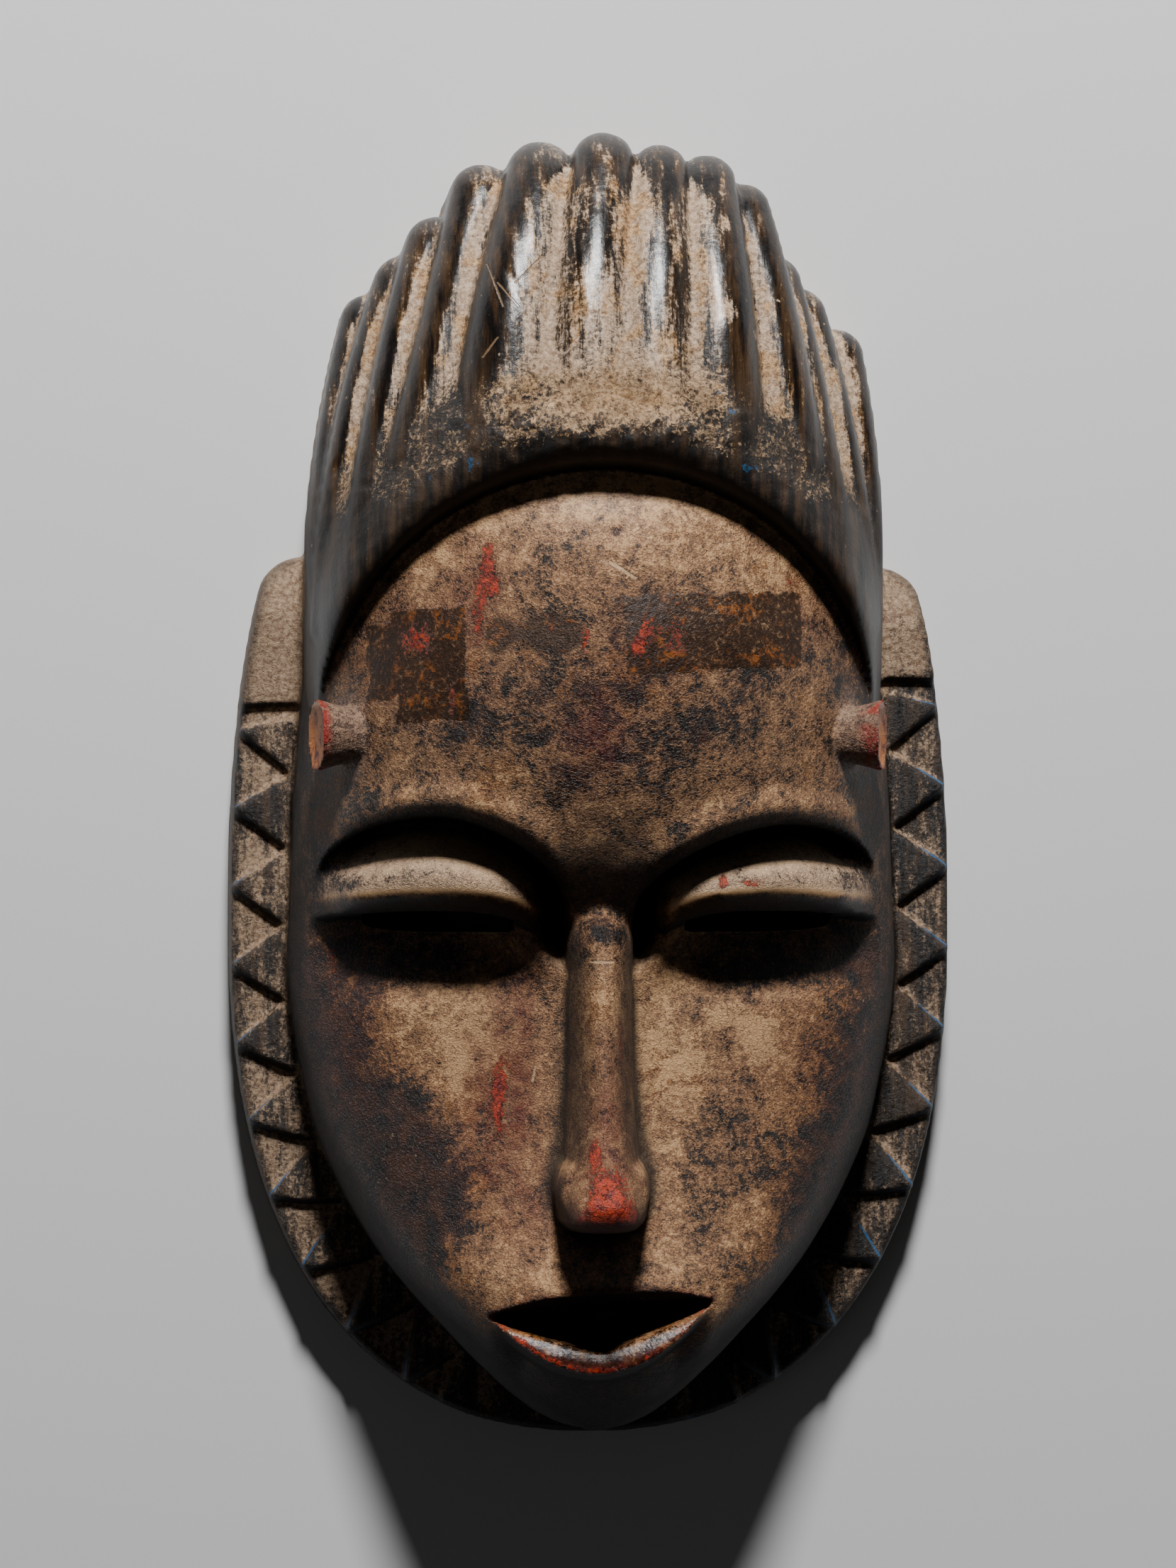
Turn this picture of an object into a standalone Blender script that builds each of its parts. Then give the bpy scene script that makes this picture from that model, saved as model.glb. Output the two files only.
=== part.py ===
"""A carved wooden face mask, lying face up on its flat back rim.

+X is the right of the face as it is looked at, +Y its crown, +Z out of the face.
The front is one carved relief, a height over every point of the plan, which the ear pegs join.
The back is hollowed for the wearer's face, and a slit under each eyelid runs through to the hollow.
All sizes are in metres.
"""

import bpy
import bmesh
import math
import numpy as np
from mathutils import Matrix, Vector

# Collar round the face, an oval plate with a row of raised triangles
COLLAR_HALF_WIDTH = 0.1009
COLLAR_CENTRE_Y = -0.0363
COLLAR_REACH_DOWN = 0.1432
COLLAR_REACH_UP = 0.1880
COLLAR_SQUARENESS = 2.35
COLLAR_THICKNESS = 0.0160
COLLAR_END_Y = 0.0640
COLLAR_END_CORNER = 0.0080
COLLAR_END_TILT = 0.015
COLLAR_END_SLOPE = 0.0180
COLLAR_END_FALL = 0.0070
COLLAR_EDGE_ROUND = 0.0017
TRIANGLE_RISE = 0.0026
TRIANGLE_BASE_GAP = 0.0010
TRIANGLE_EDGE = 0.045
TRIANGLE_PITCH = {-1: 0.0219, +1: 0.0227}
FIRST_TRIANGLE_Y = {-1: 0.0169, +1: 0.0240}
TRIANGLES_A_SIDE = 10
FIRST_TRIANGLE_UPPER = 0.27
PLAIN_END_INNER = 0.43
PLAIN_END_OUTER = 0.31

# Head: midline height, half width at its foot and how full its sections are, each at places down Y
HEAD_RIDGE = (
    (0.110, 0.080), (0.085, 0.0950), (0.065, 0.1010), (0.045, 0.1030), (0.020, 0.1010),
    (0.000, 0.0960), (-0.018, 0.0870), (-0.034, 0.0750), (-0.048, 0.0690), (-0.070, 0.0680),
    (-0.095, 0.0710), (-0.118, 0.0770), (-0.134, 0.0840), (-0.146, 0.0840), (-0.156, 0.0790),
    (-0.165, 0.0690), (-0.1735, 0.0530),
)
HEAD_HALF_WIDTH = (
    (0.110, 0.0550), (0.085, 0.0690), (0.060, 0.0765), (0.020, 0.0815), (-0.025, 0.0840), (-0.056, 0.0845),
    (-0.080, 0.0805), (-0.094, 0.0770), (-0.106, 0.0720), (-0.120, 0.0645), (-0.131, 0.0570),
    (-0.140, 0.0495), (-0.1475, 0.0425), (-0.1545, 0.0360), (-0.160, 0.0305), (-0.1680, 0.0215),
    (-0.1720, 0.0155), (-0.1740, 0.0090), (-0.1748, 0.0),
)
HEAD_FULLNESS = ((0.110, 2.1), (0.000, 2.2), (-0.060, 2.5), (-0.120, 2.6), (-0.1735, 2.4))

# Hair: the arch that frames the forehead, the cap behind it and its half width down Y
ARCH_CENTRE_Y = 0.0127
ARCH_HALF_WIDTH = 0.0758
ARCH_RISE = 0.0725
ARCH_ROLL = 0.0075
HAIR_END_Y = 0.0230
HAIR_END_STEEP = 7.0
HAIR_RIDGE = (
    (0.176, 0.030), (0.168, 0.047), (0.160, 0.060), (0.145, 0.0770), (0.130, 0.0900),
    (0.118, 0.0982), (0.108, 0.1045), (0.098, 0.1080), (0.086, 0.1062), (0.060, 0.1000), (0.010, 0.0900),
)
HAIR_HALF_WIDTH = (
    (0.172, 0.0), (0.168, 0.012), (0.158, 0.026), (0.147, 0.037), (0.135, 0.047), (0.120, 0.058),
    (0.105, 0.0655), (0.090, 0.0715), (0.075, 0.0765), (0.060, 0.0793), (0.010, 0.0800),
)
HAIR_FULLNESS = ((0.172, 2.3), (0.110, 2.4), (0.085, 2.7), (0.055, 3.3), (0.010, 3.4))

# Locks of hair, left to right: foot x, y, height and radius, tip x, y, height and radius, sideways bow
LOCKS = (
    (-0.0715, 0.044, 0.0460, 0.0078, -0.0620, 0.1302, 0.0330, 0.0082, -0.0030),
    (-0.0710, 0.044, 0.0600, 0.0075, -0.0520, 0.1385, 0.0480, 0.0092, -0.0035),
    (-0.0610, 0.062, 0.0790, 0.0080, -0.0437, 0.1482, 0.0610, 0.0086, -0.0020),
    (-0.0470, 0.088, 0.0890, 0.0112, -0.0315, 0.1615, 0.0700, 0.0086, +0.0005),
    (-0.0260, 0.094, 0.1040, 0.0150, -0.0158, 0.1668, 0.0770, 0.0090, -0.0015),
    (-0.0040, 0.094, 0.1060, 0.0138, +0.0010, 0.1697, 0.0790, 0.0082, -0.0015),
    (+0.0130, 0.094, 0.1060, 0.0124, +0.0162, 0.1674, 0.0770, 0.0074, -0.0008),
    (+0.0300, 0.094, 0.1030, 0.0130, +0.0292, 0.1650, 0.0740, 0.0076, +0.0002),
    (+0.0485, 0.088, 0.0880, 0.0112, +0.0390, 0.1577, 0.0680, 0.0078, +0.0008),
    (+0.0600, 0.062, 0.0800, 0.0080, +0.0480, 0.1390, 0.0590, 0.0080, +0.0010),
    (+0.0700, 0.046, 0.0600, 0.0080, +0.0555, 0.1305, 0.0470, 0.0090, +0.0020),
    (+0.0720, 0.044, 0.0450, 0.0078, +0.0680, 0.1215, 0.0320, 0.0080, +0.0020),
)
LOCK_FALL = 1.10
LOCK_DROP_CURVE = 2.2
LOCK_BLEND = 0.0016

# Eyes, each with its brow arch and the edge of its lowered lid, as distances from the midline
EYES = {
    -1: {"peak": (0.0430, -0.0063), "inner": (0.0078, -0.0320), "outer": (0.0780, -0.0290)},
    +1: {"peak": (0.0500, -0.0084), "inner": (0.0082, -0.0325), "outer": (0.0775, -0.0270)},
}
BROW_INNER_CURVE = 1.6
BROW_OUTER_CURVE = 2.1
BROW_RISE = 0.0028
BROW_WIDTH = 0.0042
BROW_EDGE = 0.0014
BROW_END_FADE = 0.0120
LID_MIDDLE = 0.0440
LID_Y = -0.0273
LID_INNER_DROP = 0.0072
LID_OUTER_DROP = 0.0022
LID_REACH = 0.0300
LID_RISE = 0.0058
LID_FULL_X = 0.0340
LID_CURVE = 1.15
LID_RIM = 0.0046
LID_RIM_FALL = 0.0030
LID_INNER_X = 0.0125
LID_INNER_FADE = 0.0065
SOCKET_DEPTH = 0.0235
SOCKET_INNER_X = 0.0070
SOCKET_INNER_WALL = 0.0050
SOCKET_OUTER_X = 0.0790
SOCKET_OUTER_WALL = 0.0150
INNER_CORNER_DEPTH = 0.0150
INNER_CORNER_LENGTH = 0.0130
UNDER_LID_DEPTH = 0.0150
UNDER_LID_LENGTH = 0.0280
UNDER_LID_INNER_X = 0.0130
UNDER_LID_EDGE = 0.0012
EYE_SLIT_CLEAR = 0.0004
EYE_SLIT_GAP = 0.0060
EYE_SLIT_END_GAP = 0.0027
EYE_SLIT_INNER_X = 0.0230
EYE_SLIT_OUTER_X = 0.0640
EYE_SLIT_STATIONS = 9

# Nose
NOSE_RIDGE = (
    (-0.0315, 0.0772), (-0.0350, 0.0832), (-0.045, 0.0880), (-0.070, 0.0940), (-0.095, 0.1020),
    (-0.105, 0.1060), (-0.111, 0.1065), (-0.1145, 0.1030), (-0.1165, 0.0950),
)
NOSE_HALF_WIDTH = (
    (-0.0315, 0.0065), (-0.0350, 0.0088), (-0.050, 0.0096), (-0.072, 0.0101), (-0.092, 0.0105),
    (-0.0985, 0.0107), (-0.1035, 0.0116), (-0.109, 0.0121), (-0.114, 0.0117), (-0.1165, 0.0102),
)
NOSE_TOP_Y = -0.0315
NOSE_END_Y = -0.1165
NOSE_FULLNESS = ((-0.0315, 2.3), (-0.0950, 2.3), (-0.1090, 3.2), (-0.1165, 3.2))
NOSE_FOOT = 0.55
NOSE_FILLET = 0.0016
NOSTRIL = (0.0074, -0.1064, 0.0978, 0.0044)
NOSTRIL_STRETCH = 1.7
NOSTRIL_BLEND = 0.0024

# Mouth, an open crescent
MOUTH_Y = -0.1378
MOUTH_HALF_WIDTH = 0.0305
MOUTH_TILT = 0.064
UPPER_LIP_ARCH = 0.0050
UPPER_LIP_BEVEL = 0.0038
UPPER_LIP_RISE = 0.0020
UPPER_LIP_WIDTH = 0.0060
UPPER_LIP_DROP = 0.0060
LOWER_LIP_INNER = 0.0106
LOWER_LIP_INNER_CURVE = 1.15
LOWER_LIP_OUTER = 0.0174
LOWER_LIP_OUTER_CURVE = 1.9
LOWER_LIP_RISE = 0.0030
LOWER_LIP_DISH = 0.0060
LIP_EDGE = 0.0012
LIP_END_SHARE = 0.06
MOUTH_DEPTH = 0.0240
CHIN_UNDERCUT = 0.0070
CHIN_STEP = 0.0035
CHIN_LENGTH = 0.0220
CHIN_END_SHARE = 0.35

# Ear pegs, flared stubs at the temples
PEG_X = 0.0765
PEG_Y = 0.0150
PEG_Z = 0.0700
PEG_TILT = math.radians(13.5)
PEG_LENGTH = 0.0340
PEG_PROFILE = ((0.0, 0.0072), (0.55, 0.0070), (0.76, 0.0076), (0.90, 0.0088), (1.0, 0.0099))
PEG_DISH = 0.0012
PEG_DISH_SHARE = 0.6
PEG_SIDES = 40

# Hollow behind the face
HOLLOW_CENTRE_Y = -0.0030
HOLLOW_HALF_WIDTH = 0.0710
HOLLOW_HALF_LENGTH = 0.1590
HOLLOW_SQUARENESS = 2.3
HOLLOW_CEILING = (
    (0.156, 0.052), (0.110, 0.0790), (0.070, 0.0860), (0.040, 0.0850), (0.015, 0.0740),
    (-0.010, 0.0580), (-0.030, 0.0500), (-0.060, 0.0510), (-0.110, 0.0570), (-0.162, 0.0540),
)
HOLLOW_FULLNESS = 2.5
HOLLOW_RINGS = 9
HOLLOW_SPOKES = 56

# Fineness of the carving, and how far the stock runs below the rim before it is sawn flat
GRID_STEP = 0.0014
FUSE_STEP = 0.0013
SOFTENING_PASSES = 3
TRIANGLE_SHARE = 0.026
STOCK_BELOW = 0.0060
STOCK_MARGIN = 0.0060
STEEP = 14.0
SHEER = 30.0
FILLET = 0.0012

WOOD_COLOUR = (0.085, 0.058, 0.040, 1.0)
WOOD_ROUGHNESS = 0.55


def through(stations, at):
    """A smooth curve through (place, value) stations, read at each place."""
    ordered = sorted(stations)
    place = np.array([s[0] for s in ordered])
    value = np.array([s[1] for s in ordered])
    slope = np.gradient(value, place)
    at = np.clip(at, place[0], place[-1])
    i = np.clip(np.searchsorted(place, at) - 1, 0, len(place) - 2)
    gap = place[i + 1] - place[i]
    t = (at - place[i]) / gap
    return (
        value[i] * (1 + 2 * t) * (1 - t) ** 2
        + slope[i] * gap * t * (1 - t) ** 2
        + value[i + 1] * t * t * (3 - 2 * t)
        - slope[i + 1] * gap * t * t * (1 - t)
    )


def ease(start, end, at):
    """0 before start, 1 after end, smooth between."""
    t = np.clip((at - start) / (end - start), 0.0, 1.0)
    return t * t * (3 - 2 * t)


def vault(share, fullness):
    """Height share of a rounded section, 1 at the middle and 0 at its foot."""
    return (1 - np.clip(share, 0.0, 1.0) ** fullness) ** (1 / fullness)


def soft_max(a, b, blend):
    """The higher of two surfaces, with a fillet where they meet."""
    return 0.5 * (a + b + np.sqrt((a - b) ** 2 + blend**2))


def oval(x, y):
    """Distance inside the collar's outline, and the outline's outward direction there."""
    y = y - COLLAR_CENTRE_Y
    reach = np.where(y < 0, COLLAR_REACH_DOWN, COLLAR_REACH_UP)
    u = np.maximum(abs(x), 1e-6) / COLLAR_HALF_WIDTH
    v = np.maximum(abs(y), 1e-6) / reach
    n = COLLAR_SQUARENESS
    share = (u**n + v**n) ** (1 / n)
    lean_x = np.sign(x) * (u / share) ** (n - 1) / COLLAR_HALF_WIDTH
    lean_y = np.sign(y) * (v / share) ** (n - 1) / reach
    slope = np.hypot(lean_x, lean_y)
    return (1 - share) / slope, lean_x / slope, lean_y / slope


def outline_run(x, y):
    """Run of the collar's outline from its lowest point to the place nearest x, y, and the outline's own."""
    inside, out_x, out_y = oval(x, y)
    x = abs(x + inside * out_x)
    y = y + inside * out_y
    angle = np.linspace(-0.5 * math.pi, 0.5 * math.pi, 721)
    reach = np.where(angle < 0, COLLAR_REACH_DOWN, COLLAR_REACH_UP)
    power = 2 / COLLAR_SQUARENESS
    px = COLLAR_HALF_WIDTH * np.cos(angle).clip(0) ** power
    py = COLLAR_CENTRE_Y + reach * np.sign(angle) * abs(np.sin(angle)) ** power
    run = np.concatenate([[0], np.cumsum(np.hypot(np.diff(px), np.diff(py)))])
    here = np.interp(np.arctan2(y - COLLAR_CENTRE_Y, x), np.arctan2(py - COLLAR_CENTRE_Y, px), run)
    return here, py, run


def head_width(y):
    return np.maximum(through(HEAD_HALF_WIDTH, y), 0.0)


def head(x, y):
    """The plain head, without hair or features."""
    width = np.maximum(head_width(y), 1e-5)
    rise = through(HEAD_RIDGE, y) - COLLAR_THICKNESS
    return COLLAR_THICKNESS + rise * vault(abs(x) / width, through(HEAD_FULLNESS, y))


def outside_head(x, y):
    """Distance outside the foot of the head."""
    step = 0.0005
    lean = (head_width(y + step) - head_width(y - step)) / (2 * step)
    side = (abs(x) - head_width(y)) / np.sqrt(1 + lean**2)
    return np.maximum(side, HEAD_HALF_WIDTH[-1][0] - y)


def triangle_places(side, x, y):
    """How far inside a raised triangle a place of the collar is, how far out and how far along its row."""
    inside = np.maximum(oval(x, y)[0], 0.0)
    outside = outside_head(x, y) - TRIANGLE_BASE_GAP
    across = outside / np.maximum(inside + outside, 1e-5)
    run, outline_y, outline_run_at = outline_run(x, y)
    first = np.interp(FIRST_TRIANGLE_Y[side], outline_y, outline_run_at)
    phase = (first - run) / TRIANGLE_PITCH[side]
    from_point = abs(phase - np.round(phase))
    tooth = 1 - 2 * from_point - across
    tooth = np.where(phase < 0, 1 + phase / FIRST_TRIANGLE_UPPER - across, tooth)
    plain_end = 2 * (-phase - PLAIN_END_INNER + (PLAIN_END_INNER - PLAIN_END_OUTER) * across)
    tooth = np.maximum(tooth, plain_end)
    tooth = np.where(phase > TRIANGLES_A_SIDE - 0.5, 1 - across, tooth)
    return tooth, across, phase


def collar(x, y):
    inside = oval(x, y)[0]
    end = COLLAR_END_Y - COLLAR_END_TILT * x - y
    tooth = np.where(x < 0, triangle_places(-1, x, y)[0], triangle_places(+1, x, y)[0])
    top = COLLAR_THICKNESS + TRIANGLE_RISE * ease(-TRIANGLE_EDGE, TRIANGLE_EDGE, tooth)
    top = top - COLLAR_END_FALL * np.clip(1 - end / COLLAR_END_SLOPE, 0, 1.5) ** 1.5
    corner_x = np.clip(COLLAR_END_CORNER - inside, 0, None)
    corner_y = np.clip(COLLAR_END_CORNER - end, 0, None)
    edge = np.minimum(np.minimum(inside, end), COLLAR_END_CORNER - np.hypot(corner_x, corner_y))
    rounding = vault(1 - edge / COLLAR_EDGE_ROUND, 2)
    top = top - COLLAR_EDGE_ROUND * (1 - rounding)
    return np.where(edge > 0, top, top + STEEP * edge)


def brow_line(side, x):
    """Y of the brow's lower edge, by distance from the midline."""
    eye = EYES[side]
    peak_x, peak_y = eye["peak"]
    reach = np.where(x < peak_x, peak_x - eye["inner"][0], eye["outer"][0] - peak_x)
    foot = np.where(x < peak_x, eye["inner"][1], eye["outer"][1])
    curve = np.where(x < peak_x, BROW_INNER_CURVE, BROW_OUTER_CURVE)
    share = np.clip(abs(x - peak_x) / reach, 0, 1)
    return foot + (peak_y - foot) * (1 - share**curve) ** (1 / curve)


def lid_line(x):
    """Y of the lowered lid's front edge, by distance from the midline."""
    share = (x - LID_MIDDLE) / LID_REACH
    inner = LID_INNER_DROP * np.clip(-share, 0, None) ** 3
    outer = LID_OUTER_DROP * np.clip(share, 0, None) ** 2
    return LID_Y - inner - outer


def above_brow(side, x, y):
    """Distance above the brow's lower edge."""
    step = 0.0005
    lean = (brow_line(side, x + step) - brow_line(side, x - step)) / (2 * step)
    return (y - brow_line(side, x)) / np.sqrt(1 + np.clip(lean, -6, 6) ** 2)


def eye_carving(side, x, y):
    """How far one eye's brow, socket and lid stand above or below the plain head."""
    eye = EYES[side]
    brow, lid = brow_line(side, x), lid_line(x)
    above, below = above_brow(side, x, y), lid - y
    ends = ease(0, BROW_END_FADE, x - eye["inner"][0]) * ease(0, BROW_END_FADE, eye["outer"][0] - x)
    ridge = BROW_RISE * np.exp(-(((above - BROW_WIDTH) / BROW_WIDTH) ** 2)) * ends

    walls = ease(0, SOCKET_INNER_WALL, x - SOCKET_INNER_X) * ease(0, SOCKET_OUTER_WALL, SOCKET_OUTER_X - x)
    rise = LID_RISE * ease(LID_INNER_X, LID_FULL_X, x)
    down = np.clip((brow - y) / np.maximum(brow - lid, 0.002), 0, 1)
    lid_top = -SOCKET_DEPTH + (SOCKET_DEPTH + rise) * np.sin(0.5 * math.pi * down) ** LID_CURVE
    rim = rise * (1 - LID_RIM_FALL / LID_RISE * np.clip(below / LID_RIM, 0, 1) ** 2)
    middle = 0.5 * (UNDER_LID_INNER_X + SOCKET_OUTER_X)
    hooded = np.clip(1 - ((x - middle) / (SOCKET_OUTER_X - middle)) ** 2, 0, 1)
    cheek = -UNDER_LID_DEPTH * hooded * (1 - ease(LID_RIM, LID_RIM + UNDER_LID_LENGTH, below))
    under = ease(LID_RIM, LID_RIM + UNDER_LID_EDGE, below)
    lidded = np.where(below < 0, lid_top * walls, rim * walls * (1 - under) + cheek * under)
    corner = -INNER_CORNER_DEPTH * walls * (1 - ease(0, INNER_CORNER_LENGTH, below))
    carved = corner + (lidded - corner) * ease(0, LID_INNER_FADE, x - LID_INNER_X)
    under_brow = ease(0, BROW_EDGE, -above)
    return ridge * (1 - under_brow) + carved * under_brow


def nose(x, y):
    """The nose, a long rounded tube that stands on the face, with its two nostril wings."""
    width = through(NOSE_HALF_WIDTH, y)
    top = through(NOSE_RIDGE, y)
    foot = NOSE_FOOT * top
    tube = foot + (top - foot) * vault(abs(x) / width, through(NOSE_FULLNESS, y))
    beyond = np.maximum(y - NOSE_TOP_Y, NOSE_END_Y - y)
    beyond = np.maximum(beyond, abs(x) - width)
    tube = tube - STEEP * np.clip(beyond, 0, None)
    wing_x, wing_y, wing_z, wing_r = NOSTRIL
    from_wing = np.hypot(abs(x) - wing_x, (y - wing_y) / NOSTRIL_STRETCH)
    wing = wing_z + wing_r * (vault(from_wing / wing_r, 2) - 1)
    wing = wing - STEEP * np.clip(from_wing - wing_r, 0, None)
    return soft_max(tube, wing, NOSTRIL_BLEND)


def mouth_lines(x):
    """Y of the upper lip's edge, of the opening's roof and floor and of the lower lip's rim."""
    share = np.clip(abs(x) / MOUTH_HALF_WIDTH, 0, 1)
    upper = MOUTH_Y + UPPER_LIP_ARCH * (1 - share**3)
    roof = upper - UPPER_LIP_BEVEL * np.sqrt(1 - share**2)
    floor = MOUTH_Y - LOWER_LIP_INNER * (1 - share**LOWER_LIP_INNER_CURVE)
    rim = MOUTH_Y - LOWER_LIP_OUTER * (1 - share**LOWER_LIP_OUTER_CURVE)
    return upper, roof, floor, rim


def mouth_carving(x, y):
    """How far the lips and the mouth's opening stand above or below the plain head."""
    y = y - MOUTH_TILT * x
    upper, roof, floor, rim = mouth_lines(x)
    from_end = 1 - np.clip(abs(x) / MOUTH_HALF_WIDTH, 0, 1)
    lip = UPPER_LIP_RISE * np.exp(-(((y - upper) / UPPER_LIP_WIDTH) ** 2)) * ease(0, 0.5, from_end)
    bevel = np.clip((upper - y) / np.maximum(upper - roof, 1e-4), 0, 1)
    under_lip = UPPER_LIP_RISE - (UPPER_LIP_RISE + UPPER_LIP_DROP) * bevel**1.5
    across = np.clip((floor - y) / np.maximum(floor - rim, 1e-4), 0, 1)
    lower_lip = LOWER_LIP_RISE - LOWER_LIP_DISH * (1 - across) ** 1.3
    opening = ease(0, LIP_EDGE, roof - y) * ease(0, LIP_EDGE, y - floor + LIP_EDGE) * (from_end > 0)
    shape = np.where(y > upper, lip, np.where(y > roof, under_lip, lower_lip))
    shape = shape * ease(0, LIP_END_SHARE, from_end) - (MOUTH_DEPTH + shape) * opening
    below = rim - y
    chin = -CHIN_UNDERCUT * ease(0, CHIN_STEP, below) * (1 - ease(CHIN_STEP, CHIN_LENGTH, below))
    chin = chin + LOWER_LIP_RISE * (1 - ease(0, CHIN_STEP, below))
    return np.where(below > 0, chin * ease(0, CHIN_END_SHARE, from_end), shape)


def face(x, y):
    eyes = np.where(x < 0, eye_carving(-1, abs(x), y), eye_carving(+1, abs(x), y))
    carved = head(x, y) + eyes + mouth_carving(x, y)
    return soft_max(carved, nose(x, y), NOSE_FILLET)


def beyond_arch(x, y):
    """Distance outside the arch that the hair makes round the forehead."""
    u = np.maximum(abs(x), 1e-6) / ARCH_HALF_WIDTH
    v = np.clip(y - ARCH_CENTRE_Y, 0, None) / ARCH_RISE
    share = np.hypot(u, v)
    slope = np.hypot(u / ARCH_HALF_WIDTH, v / ARCH_RISE) / share
    return (share - 1) / slope


def hair_cap(x, y):
    """The hair's plain mass, before the locks are cut."""
    width = np.maximum(through(HAIR_HALF_WIDTH, y), 1e-5)
    cap = through(HAIR_RIDGE, y) * vault(abs(x) / width, through(HAIR_FULLNESS, y))
    beyond = np.maximum(abs(x) - width, y - HAIR_HALF_WIDTH[0][0])
    return cap - SHEER * np.clip(beyond, 0, None)


def lock(x, y, size):
    """One rounded lock, from its foot to its tip."""
    foot_x, foot_y, foot_z, foot_r, tip_x, tip_y, tip_z, tip_r, bow = size
    run_x, run_y = tip_x - foot_x, tip_y - foot_y
    along = ((x - foot_x) * run_x + (y - foot_y) * run_y) / (run_x**2 + run_y**2)
    share = np.clip(along, 0, 1)
    middle_x = foot_x + run_x * share + 4 * bow * share * (1 - share)
    middle_y = foot_y + run_y * share
    from_middle = np.hypot(x - middle_x, y - middle_y)
    radius = foot_r + (tip_r - foot_r) * share
    crest = tip_z + (foot_z - tip_z) * (1 - np.clip(along, 0, None) ** LOCK_DROP_CURVE)
    across = from_middle / radius
    rounded = crest - LOCK_FALL * radius * (1 - vault(across, 2))
    return rounded - SHEER * np.clip(from_middle - radius, 0, None)


def hair(x, y):
    mass = hair_cap(x, y)
    for size in LOCKS:
        mass = soft_max(mass, lock(x, y, size), LOCK_BLEND)
    roll = np.clip(1 - beyond_arch(x, y) / ARCH_ROLL, 0, None)
    mass = mass - ARCH_ROLL * (1 - vault(roll, 2)) - STEEP * ARCH_ROLL * np.clip(roll - 1, 0, None)
    return mass - HAIR_END_STEEP * np.clip(HAIR_END_Y - y, 0, None)


def head_with_face(x, y):
    body = face(x, y) - STEEP * np.clip(outside_head(x, y), 0, None)
    return body - STEEP * np.clip(y - HEAD_RIDGE[0][0], 0, None)


def relief(x, y):
    """Height of the carved front over a point of the plan."""
    front = soft_max(collar(x, y), head_with_face(x, y), FILLET)
    front = soft_max(front, hair(x, y), FILLET)
    return np.maximum(front, -0.5 * STOCK_BELOW)


def new_object(name, mesh_maker):
    mesh = bpy.data.meshes.new(name)
    shape = bmesh.new()
    mesh_maker(shape)
    bmesh.ops.recalc_face_normals(shape, faces=shape.faces)
    shape.to_mesh(mesh)
    shape.free()
    made = bpy.data.objects.new(name, mesh)
    bpy.context.scene.collection.objects.link(made)
    return made


def relief_block(shape):
    """The block of wood with the relief on its top face."""
    half_x = COLLAR_HALF_WIDTH + STOCK_MARGIN
    low_y = COLLAR_CENTRE_Y - COLLAR_REACH_DOWN - STOCK_MARGIN
    high_y = max(size[5] + size[7] for size in LOCKS) + STOCK_MARGIN
    across = round(2 * half_x / GRID_STEP)
    along = round((high_y - low_y) / GRID_STEP)
    bmesh.ops.create_grid(shape, x_segments=across, y_segments=along, size=0.5)
    place = np.array([v.co for v in shape.verts])
    x = place[:, 0] * 2 * half_x
    y = (place[:, 1] + 0.5) * (high_y - low_y) + low_y
    z = relief(x, y)
    for vert, point in zip(shape.verts, np.stack([x, y, z], axis=1)):
        vert.co = point
    rim = [edge for edge in shape.edges if edge.is_boundary]
    skirt = bmesh.ops.extrude_edge_only(shape, edges=rim)["geom"]
    for vert in (item for item in skirt if isinstance(item, bmesh.types.BMVert)):
        vert.co.z = -STOCK_BELOW
    foot = [item for item in skirt if isinstance(item, bmesh.types.BMEdge)]
    bmesh.ops.contextual_create(shape, geom=foot)


def peg_axis(side):
    return Matrix.Rotation(side * (0.5 * math.pi - PEG_TILT), 4, "Y")


def ear_peg(shape, side):
    """A turned stub whose axis points outwards and a little forwards, with a dished end."""
    outline = [Vector((radius, 0, share * PEG_LENGTH)) for share, radius in PEG_PROFILE]
    rim_radius = PEG_PROFILE[-1][1]
    outline.append(Vector((PEG_DISH_SHARE * rim_radius, 0, PEG_LENGTH - PEG_DISH)))
    outline.append(Vector((0, 0, PEG_LENGTH - PEG_DISH)))
    outline.insert(0, Vector((0, 0, 0)))
    verts = [shape.verts.new(point) for point in outline]
    edges = [shape.edges.new(pair) for pair in zip(verts, verts[1:])]
    bmesh.ops.spin(
        shape, geom=verts + edges, cent=(0, 0, 0), axis=(0, 0, 1),
        angle=2 * math.pi, steps=PEG_SIDES, use_merge=True,
    )
    bmesh.ops.remove_doubles(shape, verts=shape.verts, dist=1e-6)
    lean = peg_axis(side)
    end = Vector((side * PEG_X, PEG_Y, PEG_Z))
    axis = lean @ Vector((0, 0, 1))
    place = Matrix.Translation(end - axis * PEG_LENGTH) @ lean
    bmesh.ops.transform(shape, matrix=place, verts=shape.verts)


def carved_front(shape):
    relief_block(shape)
    for side in (-1, 1):
        peg = bmesh.new()
        ear_peg(peg, side)
        stub = bpy.data.meshes.new("ear_peg")
        bmesh.ops.recalc_face_normals(peg, faces=peg.faces)
        peg.to_mesh(stub)
        peg.free()
        shape.from_mesh(stub)
        bpy.data.meshes.remove(stub)


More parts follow.
